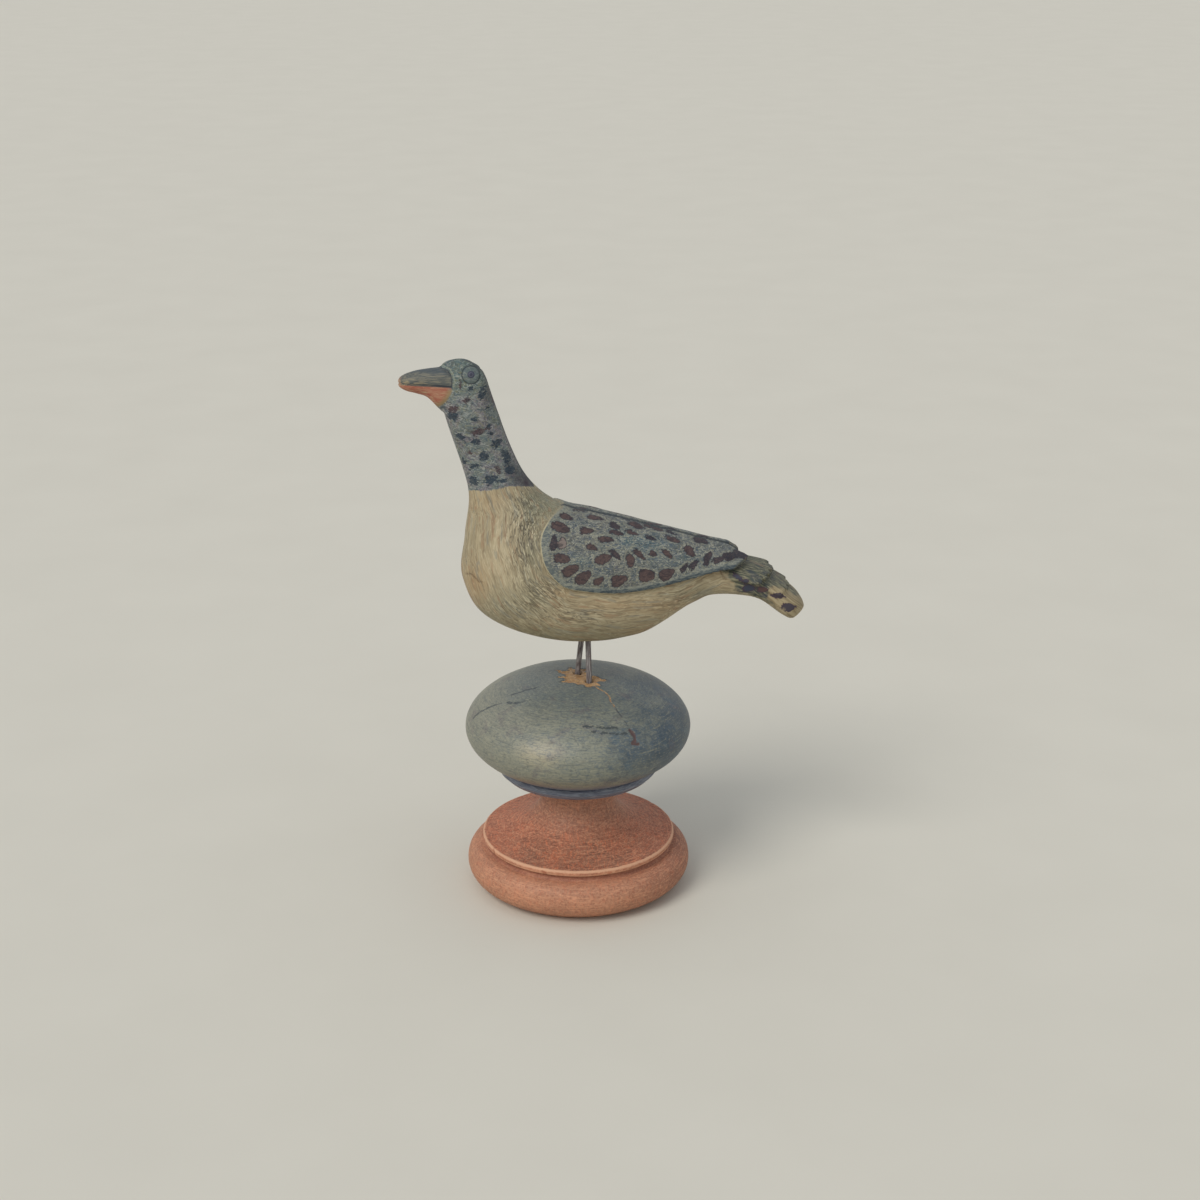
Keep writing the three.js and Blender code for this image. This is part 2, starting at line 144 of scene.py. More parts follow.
def segment_distance(p, a, b):
    a, b = np.asarray(a, float), np.asarray(b, float)
    t = np.clip(((p - a) @ (b - a)) / ((b - a) @ (b - a)), 0, 1)
    return np.linalg.norm(p - a - t[:, None] * (b - a), axis=1)


def line_distance(p, line):
    """Distance to an open line of points, in a plane or in space."""
    parts = [segment_distance(p, a, b) for a, b in zip(line[:-1], line[1:])]
    return np.min(parts, axis=0)


def inside(p, outline):
    """Signed distance to a closed outline in a plane, positive inside."""
    outline = np.asarray(outline, float)
    ahead = np.roll(outline, -1, axis=0)
    odd = np.zeros(len(p), bool)
    for (x0, y0), (x1, y1) in zip(outline, ahead):
        if y0 == y1:
            continue
        crosses = (p[:, 1] < y0) != (p[:, 1] < y1)
        odd ^= crosses & (p[:, 0] < x0 + (p[:, 1] - y0) * (x1 - x0) / (y1 - y0))
    distance = line_distance(p, np.vstack([outline, outline[:1]]))
    return np.where(odd, distance, -distance)


# ---------------------------------------------------------------- meshes
def mesh_of(name, corners, faces):
    mesh = bpy.data.meshes.new(name)
    mesh.from_pydata(corners.tolist(), [], faces)
    mesh.update()
    return mesh


def object_of(name, mesh):
    made = bpy.data.objects.new(name, mesh)
    scene.collection.objects.link(made)
    return made


def applied(obj):
    """The object's mesh with its modifiers applied, in place of the object."""
    depsgraph = bpy.context.evaluated_depsgraph_get()
    mesh = bpy.data.meshes.new_from_object(obj.evaluated_get(depsgraph))
    bpy.data.objects.remove(obj)
    return mesh


def combined(first, second, operation):
    """Two closed meshes joined, cut or crossed."""
    a, b = object_of("a", first), object_of("b", second)
    cut = a.modifiers.new("cut", "BOOLEAN")
    cut.operation, cut.object, cut.solver = operation, b, "MANIFOLD"
    mesh = applied(a)
    bpy.data.objects.remove(b)
    return mesh


def joined(meshes):
    """Several meshes as one, without cutting them."""
    corners, faces = [], []
    for mesh in meshes:
        start = len(corners)
        corners += [tuple(v.co) for v in mesh.vertices]
        faces += [[start + i for i in f.vertices] for f in mesh.polygons]
    return mesh_of("joined", np.array(corners), faces)


def positions(mesh):
    co = np.empty(len(mesh.vertices) * 3, np.float32)
    mesh.vertices.foreach_get("co", co)
    return co.reshape(-1, 3).astype(float)


def normals(mesh):
    directions = np.empty(len(mesh.vertices) * 3, np.float32)
    mesh.vertex_normals.foreach_get("vector", directions)
    return directions.reshape(-1, 3).astype(float)


def move(mesh, corners):
    mesh.vertices.foreach_set("co", corners.astype(np.float32).ravel())
    mesh.update()


def edge_ends(mesh):
    ends = np.empty(len(mesh.edges) * 2, np.int64)
    mesh.edges.foreach_get("vertices", ends)
    return ends.reshape(-1, 2)


def neighbour_mean(values, ends):
    total = np.zeros_like(values)
    count = np.zeros(len(values))
    for a, b in ((0, 1), (1, 0)):
        np.add.at(total, ends[:, a], values[ends[:, b]])
        np.add.at(count, ends[:, a], 1)
    return total / (count[:, None] if values.ndim > 1 else count)


def relaxed(corners, ends, rounds):
    """Smooths without shrinking."""
    for _ in range(rounds):
        for strength in (0.5, -0.52):
            corners = corners + strength * (neighbour_mean(corners, ends) - corners)
    return corners


def edge_field(mesh, rounds=3):
    """Positive on raised edges and negative in hollows, in mm of bend."""
    corners, ends = positions(mesh), edge_ends(mesh)
    bend = ((corners - neighbour_mean(corners, ends)) * normals(mesh)).sum(1)
    for _ in range(rounds):
        bend = 0.4 * bend + 0.6 * neighbour_mean(bend, ends)
    return bend


def note(mesh, **marks):
    """Keeps numbers or places for each corner of the mesh, for its paint."""
    for name, values in marks.items():
        vector = values.ndim > 1
        kind = "FLOAT_VECTOR" if vector else "FLOAT"
        data = mesh.attributes.new(name, kind, "POINT").data
        data.foreach_set("vector" if vector else "value", values.astype(np.float32).ravel())


def finished(name, mesh, paint, nodes):
    """A piece in metres, painted, that stands for these nodes of the solids."""
    mesh.transform(((MM, 0, 0, 0), (0, MM, 0, 0), (0, 0, MM, 0), (0, 0, 0, 1)))
    mesh.name = name
    mesh.shade_smooth()
    mesh.materials.clear()
    mesh.materials.append(paint)
    piece = object_of(name, mesh)
    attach(piece, "root")
    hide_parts(*nodes)
    return piece


def prism(outline, low, high, to_space):
    """A closed outline made solid between two depths."""
    outline = np.asarray(outline, float)
    count = len(outline)
    rings = [to_space(outline, depth) for depth in (low, high)]
    faces = [list(range(count))[::-1], [count + i for i in range(count)]]
    faces += [[i, (i + 1) % count, count + (i + 1) % count, count + i] for i in range(count)]
    return outward(mesh_of("prism", np.vstack(rings), faces))


def outward(mesh):
    """Turns the faces of a closed mesh outward."""
    mesh.calc_loop_triangles()
    corners = positions(mesh)
    tris = np.array([t.vertices[:] for t in mesh.loop_triangles])
    a, b, c = corners[tris[:, 0]], corners[tris[:, 1]], corners[tris[:, 2]]
    if (a * np.cross(b, c)).sum() < 0:
        mesh.flip_normals()
    return mesh


def in_side_view(outline, depth):
    return np.stack([outline[:, 0], np.full(len(outline), depth), outline[:, 1]], 1)


def in_plan(outline, depth):
    return np.stack([outline[:, 0], outline[:, 1], np.full(len(outline), depth)], 1)


# ---------------------------------------------------------------- the bird's form
# Chords from the face to the tail tip: x, z on the back, x, z on the belly, half width
BODY_CHORDS = np.array([
    [-47.6, 221.0, -47.6, 221.0, 0], [-43.4, 220.9, -51.3, 219.3, 3.3],
    [-39.3, 219.1, -53.6, 216.0, 5.7], [-35.9, 215.5, -53.6, 211.0, 7.5],
    [-32.1, 204.7, -51.0, 199.2, 8.5], [-24.9, 184.0, -45.3, 180.2, 8.8],
    [-17.2, 170.6, -42.5, 166.8, 11.8], [-6.2, 162.2, -44.4, 150.9, 17.6],
    [5.8, 159.2, -45.7, 133.6, 22.0], [18.4, 156.0, -36.2, 117.0, 23.8],
    [31.6, 152.3, -9.0, 107.3, 22.8], [44.8, 148.9, 22.0, 109.2, 18.8],
    [57.2, 144.7, 44.0, 122.2, 13.2], [62.6, 140.6, 53.8, 126.7, 11.6],
    [74.6, 135.0, 70.0, 125.9, 11.2], [86.2, 126.7, 81.2, 118.7, 11.4],
    [89.5, 123.1, 84.8, 116.4, 7.8], [90.5, 120.9, 87.2, 117.0, 4.2],
    [89.7, 119.1, 89.7, 119.1, 0],
])
BEAK_CHORDS = np.array([
    [-69.0, 211.4, -69.0, 211.4, 0], [-68.4, 213.5, -67.9, 209.9, 2.2],
    [-66.4, 215.0, -65.2, 208.5, 3.6], [-62.0, 216.5, -61.4, 207.6, 4.5],
    [-57.6, 217.2, -57.2, 206.0, 4.9], [-50.6, 217.8, -51.4, 200.4, 5.6],
    [-43.0, 217.6, -44.0, 197.0, 6.0],
])
BEAK_ROOT_LINE = [(-54.6, 217.9), (-52, 217.8), (-49.4, 217.4), (-47.9, 216.0),
                  (-47.3, 213.2), (-47.8, 209.8), (-50.5, 206.4)]
MOUTH_LINE = [(-72, 211.8), (-61, 211.7), (-49, 211.2), (-47.6, 210.9)]
EYE_IN_PICTURE = (471.0, 374.6)
EYE_SCALE = 0.381  # mm to a picture pixel, at the side of the head
EYE_RING_RADIUS = 3.55
BEAK_TIP = np.array([-69.0, 0, 211.4])
WING_HEIGHT = 1.4
WING_TIP_HEIGHT = 4.5
WING_EDGE = [(-3.5, 163), (-9.6, 161.3), (-13.4, 156.6), (-13.7, 151), (-11.8, 144.4),
             (-7.5, 138.9), (-2.4, 135.9), (9, 134.2), (21.3, 134), (37.1, 136.1),
             (54.7, 139.4), (60.6, 140), (64.8, 140.5), (66.8, 141.6), (67.4, 142.9),
             (66.1, 144.1), (63.5, 145.9)]
WING_TIP_PLAN = [(56, 0.6), (62.5, 0.9), (65.8, 1.7), (67.6, 3.2), (67.3, 5.2), (65.6, 7.8),
                 (63.4, 10.6), (60.5, 14)]
RIGHT_WING_LENGTH = 0.95
BACK_GROOVE_HALF = 0.6
FEATHERS = 7
FEATHER_SPREAD = 1.42
FEATHER_TIP = 0.24
FEATHER_ROOT = -1.5
TIERS = [  # start, end, slant, height, ridge, counted in chords and mm
    (12.9, 14.19, 0.34, 2.8, 0.8),
    (13.6, 14.77, 0.27, 1.35, 0.65),
]
BODY_RINGS, BODY_SIDES = 400, 160
BEAK_RINGS, BEAK_SIDES = 70, 96
FEATHER_COLUMNS, FEATHER_ROWS = 14, 26
PAST_SIDE, PAST_TOP, PAST_FRONT = 40, 175, -75  # mm, clear of the bird
VOXEL = 0.57
EDGE_SCALE = (0.47 / VOXEL) ** 2  # the bend at an edge grows with the size of the faces


def body_roundness(x):
    return 2.15 + 0.8 * smooth(x, 54, 70) + 1.2 * smooth(-x, 30, 37)


def body_taper(x):
    return 0.24 * smooth(-x, 30, 37)


def beak_roundness(x):
    return 2 + 0.9 * smooth(x, -62, -51)


def nothing(x):
    return 0 * x


def form_at(chords, roundness, taper, u, angle, growth):
    """Points on a form: u counted in chords, angle 0 on the back, growth outward."""
    q = catmull(chords, u)
    middle, reach = (q[:, :2] + q[:, 2:4]) / 2, (q[:, :2] - q[:, 2:4]) / 2
    length = np.maximum(np.linalg.norm(reach, axis=1), 1e-6)
    power = 2 / roundness(q[:, 0])
    along = np.sign(np.cos(angle)) * np.abs(np.cos(angle)) ** power
    across = np.sign(np.sin(angle)) * np.abs(np.sin(angle)) ** power
    place = middle + reach * ((length + growth) / length * along)[:, None]
    width = np.maximum(q[:, 4], 0) + growth
    y = width * across * (1 - taper(q[:, 0]) * (1 - along) / 2)
    return np.stack([place[:, 0], y, place[:, 1]], 1)


def grid_faces(rings, sides):
    """Quads between rings of a closed tube, after one point at the start."""
    ring, side = np.meshgrid(np.arange(rings - 1), np.arange(sides), indexing="ij")
    a = 1 + ring * sides + side
    b = 1 + ring * sides + (side + 1) % sides
    return np.stack([a, b, b + sides, a + sides], -1).reshape(-1, 4)


def tube(rings_of_points, start, end):
    """A closed mesh from rings of points and a point at each end."""
    rings, sides, _ = rings_of_points.shape
    corners = np.vstack([start[None], rings_of_points.reshape(-1, 3), end[None]])
    last = len(corners) - 1
    faces = grid_faces(rings, sides).tolist()
    for i in range(sides):
        j = (i + 1) % sides
        faces.append([0, 1 + j, 1 + i])
        faces.append([last, last - sides + i, last - sides + j])
    return outward(mesh_of("tube", corners, faces))


def loft(chords, roundness, taper, rings, sides, growth):
    last = len(chords) - 1
    u = np.linspace(0, last, rings + 2)[1:-1]
    angle = np.linspace(0, 2 * math.pi, sides, endpoint=False)
    u, angle = (a.ravel() for a in np.meshgrid(u, angle, indexing="ij"))
    grow = growth(catmull(chords, u)[:, 0])
    points = form_at(chords, roundness, taper, u, angle, grow)
    ends = chords[[0, -1]]
    start, end = (np.array([e[0], 0, e[1]]) for e in ends)
    return tube(points.reshape(rings, sides, 3), start, end), u, angle


def body_loft(growth=nothing):
    return loft(BODY_CHORDS, body_roundness, body_taper, BODY_RINGS, BODY_SIDES, growth)


def feather_tier(start, end, slant, height, ridge):
    """Rounded ridges round the top of the tail that rise to staggered tips."""
    columns, rows = FEATHERS * FEATHER_COLUMNS, FEATHER_ROWS
    column, row = np.meshgrid(np.arange(columns + 1), np.arange(rows + 1), indexing="ij")
    angle = FEATHER_SPREAD * (2 * column / columns - 1)
    across = (column / FEATHER_COLUMNS) % 1 * 2 - 1
    flank = 1 - np.sqrt(1 - across**2)
    tip = end - slant * np.abs(angle) / FEATHER_SPREAD - FEATHER_TIP * flank
    run = row / rows
    u = start + (tip - start) * run
    sheets = [form_at(BODY_CHORDS, body_roundness, body_taper,
                      u.ravel(), angle.ravel(), grow.ravel())
              for grow in ((height - ridge * flank) * run, np.full(run.shape, FEATHER_ROOT))]
    top, root = np.arange(2 * run.size).reshape(2, columns + 1, rows + 1)
    quads = [(top[:-1, :-1], top[:-1, 1:], top[1:, 1:], top[1:, :-1]),
             (root[1:, :-1], root[1:, 1:], root[:-1, 1:], root[:-1, :-1]),
             (top[:-1, 0], top[1:, 0], root[1:, 0], root[:-1, 0]),
             (top[1:, -1], top[:-1, -1], root[:-1, -1], root[1:, -1]),
             (top[0, 1:], top[0, :-1], root[0, :-1], root[0, 1:]),
             (top[-1, :-1], top[-1, 1:], root[-1, 1:], root[-1, :-1])]
    faces = [face for quad in quads for face in np.stack(quad, -1).reshape(-1, 4).tolist()]
    return outward(mesh_of("tier", np.vstack(sheets), faces))


def wing_shapes(side):
    """Outlines of a folded wing in side view and in plan. The right one is shorter."""
    shapes = []
    above = [(x, PAST_TOP) for x in (WING_EDGE[-1][0], WING_EDGE[0][0])]
    beside = [(WING_TIP_PLAN[-1][0], PAST_SIDE), (-20, PAST_SIDE), (-20, BACK_GROOVE_HALF)]
    for curve, steps, ends in ((WING_EDGE, 130, above), (WING_TIP_PLAN, 50, beside)):
        shape = np.vstack([catmull(curve, np.linspace(0, len(curve) - 1, steps)), ends])
        if side > 0:
            shape[:, 0] *= np.where(shape[:, 0] > 0, RIGHT_WING_LENGTH, 1)
        shapes.append(shape)
    return shapes


def wing_pad(grown, side):
    """One folded wing, cut out of the body grown by the wing's height."""
    outline, plan = wing_shapes(side)
    low, high = sorted((0, side * PAST_SIDE))
    pad = combined(grown, prism(outline, low, high, in_side_view), "INTERSECT")
    return combined(pad, prism(plan * [1, side], 0, PAST_TOP, in_plan), "INTERSECT")


def bird_mesh():
    """The carved form as one even mesh of small faces."""
    face = BEAK_ROOT_LINE + [(PAST_FRONT, BEAK_ROOT_LINE[i][1]) for i in (-1, 0)]
    cut = prism(face, -PAST_SIDE, PAST_SIDE, in_side_view)
    parts = [combined(body_loft()[0], cut, "DIFFERENCE")]
    rise = WING_TIP_HEIGHT - WING_HEIGHT
    grown, _, _ = body_loft(lambda x: WING_HEIGHT + rise * smooth(x, 45, 72))
    parts += [wing_pad(grown, side) for side in (-1, 1)]
    parts.append(loft(BEAK_CHORDS, beak_roundness, nothing, BEAK_RINGS, BEAK_SIDES, nothing)[0])
    parts += [feather_tier(*tier) for tier in TIERS]
    whole = object_of("whole", joined(parts))
    grid = whole.modifiers.new("even", "REMESH")
    grid.mode, grid.voxel_size = "VOXEL", VOXEL
    return applied(whole)


class BodyMap:
    """Reads where a point lies on the plain body: along it, round it and above it."""

    def __init__(self):
        mesh, u, angle = body_loft()
        self.corners = positions(mesh)
        mesh.calc_loop_triangles()
        self.tris = np.array([t.vertices[:] for t in mesh.loop_triangles])
        self.tree = BVHTree.FromPolygons(self.corners.tolist(), self.tris.tolist())
        last = len(BODY_CHORDS) - 1
        fine = catmull(BODY_CHORDS, np.linspace(0, last, 721))
        middle = (fine[:, :2] + fine[:, 2:4]) / 2
        steps = np.linalg.norm(np.diff(middle, axis=0), axis=1)
        run_of = np.concatenate([[0], np.cumsum(steps)])
        run = np.interp(u, np.linspace(0, last, 721), run_of)
        self.marks = np.vstack([[0, 0], np.stack([run, np.sin(angle)], 1), [run_of[-1], 0]])

    def read(self, points):
        found = [self.tree.find_nearest(p) for p in points.tolist()]
        place = np.array([f[0][:] for f in found])
        facing = np.array([f[1][:] for f in found])
        tri = self.tris[[f[2] for f in found]]
        a, b, c = (self.corners[tri[:, i]] for i in range(3))
        whole = np.cross(b - a, c - a)
        area = np.maximum((whole * whole).sum(1), 1e-12)
        wb = (np.cross(place - a, c - a) * whole).sum(1) / area
        wc = (np.cross(b - a, place - a) * whole).sum(1) / area
        weights = np.stack([1 - wb - wc, wb, wc], 1)
        marks = sum(weights[:, i:i + 1] * self.marks[tri[:, i]] for i in range(3))
        height = ((points - place) * facing).sum(1)
        return marks[:, 0], marks[:, 1], height


# ---------------------------------------------------------------- paint marks on the bird
# Brush spots as seen from the side: x, y, length, width in pixels, tilt in degrees, and
# tone, from 0 for navy to 1 for brown
WING_SPOTS = [
    (566, 516.8, 15, 6, 20, 1), (560.7, 527.5, 20, 10, 20, .9), (554.5, 543, 8, 16, 8, .2),
    (562.2, 558.9, 18, 10, 8, .8), (570.6, 570.3, 19, 10, -30, 1), (583.6, 577.2, 19, 11, -40, .6),
    (598.9, 580.7, 13, 8, -35, .9), (619.6, 580.3, 19, 11, -20, 1), (647, 575.5, 17, 12, -8, .8),
    (581.3, 510, 18, 3, 4, .7), (595.1, 517.5, 17, 5, 12, .9), (586.7, 530.6, 15, 7, 4, 1),
    (592, 547, 12, 7, 25, .9), (606.6, 539.7, 18, 6, 8, .8), (615, 525.2, 13, 7, 30, .3),
    (616.5, 532.8, 17, 5, 15, .5), (635.6, 525.2, 18, 6, 18, .8), (631.8, 532.5, 14, 3.5, 20, .8),
    (650.9, 538.6, 11, 3.5, 25, .1), (657.5, 528.7, 11, 4, 22, .8), (603.5, 559.2, 18, 10, -20, .8),
    (615.4, 554.7, 15, 6, 45, .3), (630.3, 560.4, 9, 15, -8, .8), (639.5, 554.3, 18, 6, 42, .9),
    (653.1, 553.5, 10, 6, 20, .6), (673.7, 539.8, 18, 5, 22, .9), (701.2, 540.6, 17, 6, 22, .3),
    (690.5, 551.3, 15, 8, 40, .6), (667.5, 554.3, 15, 5, 35, .9), (707.7, 557.4, 14, 7, -60, .3),
    (694.3, 564.3, 13, 6.5, -50, .2), (684.4, 567.3, 11, 6, -55, .2),
    (667.5, 573.5, 17, 11, -30, .6),
    (720, 559, 16, 6.5, -14, .3), (730, 556, 18, 8.5, -14, .1), (740, 553.8, 17, 9, 5, 0),
    (746, 556, 11, 9, 40, 0), (707, 563, 8, 5, -30, .3), (626, 518.5, 12, 3, 20, .3),
    (648, 525.5, 14, 3, 18, .8), (672, 532.5, 13, 3, 16, .1), (607, 512.2, 15, 3, 10, .4),
    (562.5, 544, 9, 12, 15, 2),
]
NECK_SPOTS = [
    (452, 409, 11, 7, -8, .8), (453, 416.5, 13, 8, 30, .2), (479.3, 430.7, 17, 7, -14, .75),
    (460.9, 437.6, 12, 5, 40, .2), (477, 441.6, 9, 6, 0, .3), (497.1, 443.3, 13, 6, -35, .1),
    (483.9, 456, 8, 10, 10, .05), (474.1, 466.3, 10, 5, -8, .1), (506.3, 456, 7, 16, -24, .3),
    (463.8, 461.7, 7, 5, 30, .3), (491.4, 479.5, 14, 8, -20, .0), (474.1, 481.2, 12, 7, 20, .2),
    (502.8, 481.2, 11, 6, -10, .1), (482.7, 394.5, 7, 9, 20, .1), (460.4, 384.2, 3, 8, 0, .6),
    (470.7, 388.8, 6, 4, 0, .1), (488.5, 407.7, 3, 7, 0, .2), (467.2, 400.8, 8, 5, -20, .6),
    (474.1, 419.2, 6, 4, 10, .1), (489, 426, 6, 4, -30, .3), (510, 470, 12, 9, 20, .2),
    (498, 470, 5, 8, -20, .6), (470, 452, 5, 4, 20, .8), (491, 434, 6, 3, 20, .0),
    (484, 388, 9, 4, -30, .1), (493, 399, 4, 9, -10, .7),
]
TAIL_SPOTS = [
    (778.8, 595.7, 15, 5, 8, .4), (788.3, 607.5, 16, 8.5, 0, .3), (763, 589.8, 12, 6, 0, 1),
    (750.1, 588.4, 14, 7.5, 0, .0), (738, 577, 14, 4, 35, .0), (746, 581.5, 9, 4, 0, .1),
]
NECK_EDGE = [(380, 490.5), (467.4, 490.4), (488, 490.6), (500, 488.8), (509, 486.2), (540, 486.6),
             (620, 486)]
BEAK_EDGE = [(350, 340), (440.4, 366.6), (448, 369.7), (451.2, 375.1), (452.5, 381.8),
             (451.6, 388.9), (449, 395), (445.5, 400.5), (440.5, 404.8), (380, 430)]
MOUTH_IN_PICTURE = [(360, 385.2), (403.4, 385.4), (416.8, 386.3), (430.2, 386.9), (470, 389)]
TAIL_EDGE = [(716, 500), (720, 566), (728, 580), (736, 591), (748, 597), (764, 601), (778, 606),
             (800, 640), (900, 640), (900, 500)]
TAIL_TAN = [(768, 588.5), (776, 586), (788, 589), (797, 595), (810, 598), (815, 630), (790, 630),
            (777.5, 612), (768, 598)]
BREAST_CRACK = [(466, 573.6), (471, 573.8), (475, 577.5), (478.6, 581.6), (482, 582)]
BREAST_SCORE = [(484, 540), (500, 549), (519, 567)]
TAIL_CRACK = [(720, 570.8), (723, 576), (726.5, 579.7)]
CUTS = [(BREAST_CRACK, 0.2, 0.3), (BREAST_SCORE, 0.1, 0.5), (TAIL_CRACK, 0.25, 0.3)]  # depth, width
# The brushwork of the tan body runs side by side with this outline
STROKES_ROUND = [(524, 440), (532, 482), (543, 508), (540, 540), (549, 573), (572, 592), (620, 599),
                 (680, 595), (722, 577), (750, 584), (810, 632), (900, 640), (900, 440)]
# Soft clouds of colour: x, y, half length, half height in pixels, and strength
CLOUDS = {
    "olive": [(545, 503, 26, 14, 1.3), (500, 606, 34, 20, 0.55), (532, 548, 13, 44, 0.7),
              (545, 600, 20, 14, 0.5), (600, 632, 70, 9, 0.45), (690, 592, 30, 8, 0.4)],
    "warm": [(476, 584, 13, 20, 0.7), (490, 500, 20, 10, 0.35), (560, 594, 18, 5, 0.5),
              (640, 606, 60, 7, 0.5), (650, 632, 36, 5, 0.6), (700, 572, 20, 5, 0.5)],
    "pale": [(500, 560, 18, 30, 1), (505, 515, 10, 26, 0.6), (622, 595, 50, 6, 0.5),
              (520, 578, 16, 10, 0.7), (590, 618, 64, 16, 1.0), (504, 600, 32, 22, 1.0)],
    "scribble": [(524, 530, 15, 46, 1.2), (545, 592, 20, 14, 0.8), (575, 616, 36, 10, 0.6),
              (510, 608, 26, 10, 0.4), (680, 600, 50, 14, 0.35)],
    "teal": [(575, 562, 16, 8, 0.9), (648, 543, 26, 12, 0.9), (622, 540, 20, 9, 0.6),
              (600, 500, 30, 6, 0.5), (676, 560, 30, 10, 0.5), (590, 582, 20, 6, 0.4)],
    "dark": [(527, 481, 10, 10, 1.0), (512, 472, 9, 12, 0.5), (489, 392, 6, 12, 0.6)],
}


def spot_field(near, place, spots, faces_us):
    """Distance inside the nearest brush spot in mm, negative outside it, and its tone.

    A spot keeps its drawn shape in the picture, and ends where the form turns away."""
    depth = np.full(len(place), -9.0)
    tone = np.zeros(len(place))
    for x, y, length, width, tilt, hue in spots:
        turn = math.radians(tilt)
        dx, dy = place[:, 0] - x, place[:, 1] - y
        along = (dx * math.cos(turn) + dy * math.sin(turn)) / (length / 2)
        across = (dy * math.cos(turn) - dx * math.sin(turn)) / (width / 2)
        pointed = np.hypot(along, across * (1 + 0.3 * np.clip(along, -1, 1)))
        centre = near[np.argmin(dx**2 + dy**2 + 400 * (faces_us < 0.1))]
        away = np.linalg.norm(near - centre, axis=1) / (0.56 * max(length, width) * MM_PER_PIXEL)
        own = (1 - np.maximum(pointed, away)) * min(length, width) / 2 * MM_PER_PIXEL
        tone = np.where(own > depth, hue, tone)
        depth = np.maximum(depth, own)
    return depth, tone


def varied(spots):
    """The same kind of spots for the far side, each a little different."""
    changed = []
    for x, y, length, width, tilt, hue in spots:
        shift = RNG.uniform(-2.6, 2.6, 2)
        grow = RNG.uniform(0.82, 1.18, 2)
        changed.append((x + shift[0], y + shift[1], length * grow[0], width * grow[1],
                        tilt + RNG.uniform(-14, 14), hue))
    return changed


def both_sides(points, place, spots, faces_us):
    """Spots on both sides, drawn out to nothing where they pass the middle."""
    mirrored = points * [1, 0, 1] - np.abs(points) * [0, 1, 0]
    left, left_tone = spot_field(mirrored, place, spots, faces_us)
    right, right_tone = spot_field(mirrored, place, varied(spots), faces_us)
    left -= np.maximum(points[:, 1], 0) * 0.6
    right -= np.maximum(-points[:, 1], 0) * 0.6
    return np.maximum(left, right), np.where(left > right, left_tone, right_tone)


def clouds(place, blots):
    total = 0
    for x, y, half_length, half_height, strength in blots:
        dx, dy = (place[:, 0] - x) / half_length, (place[:, 1] - y) / half_height
        total = total + strength * np.exp(-(dx**2 + dy**2))
    return np.clip(total, 0, 1)


def height_of_line(x, line):
    line = np.array(line)
    return np.interp(x, line[:, 0], line[:, 1])


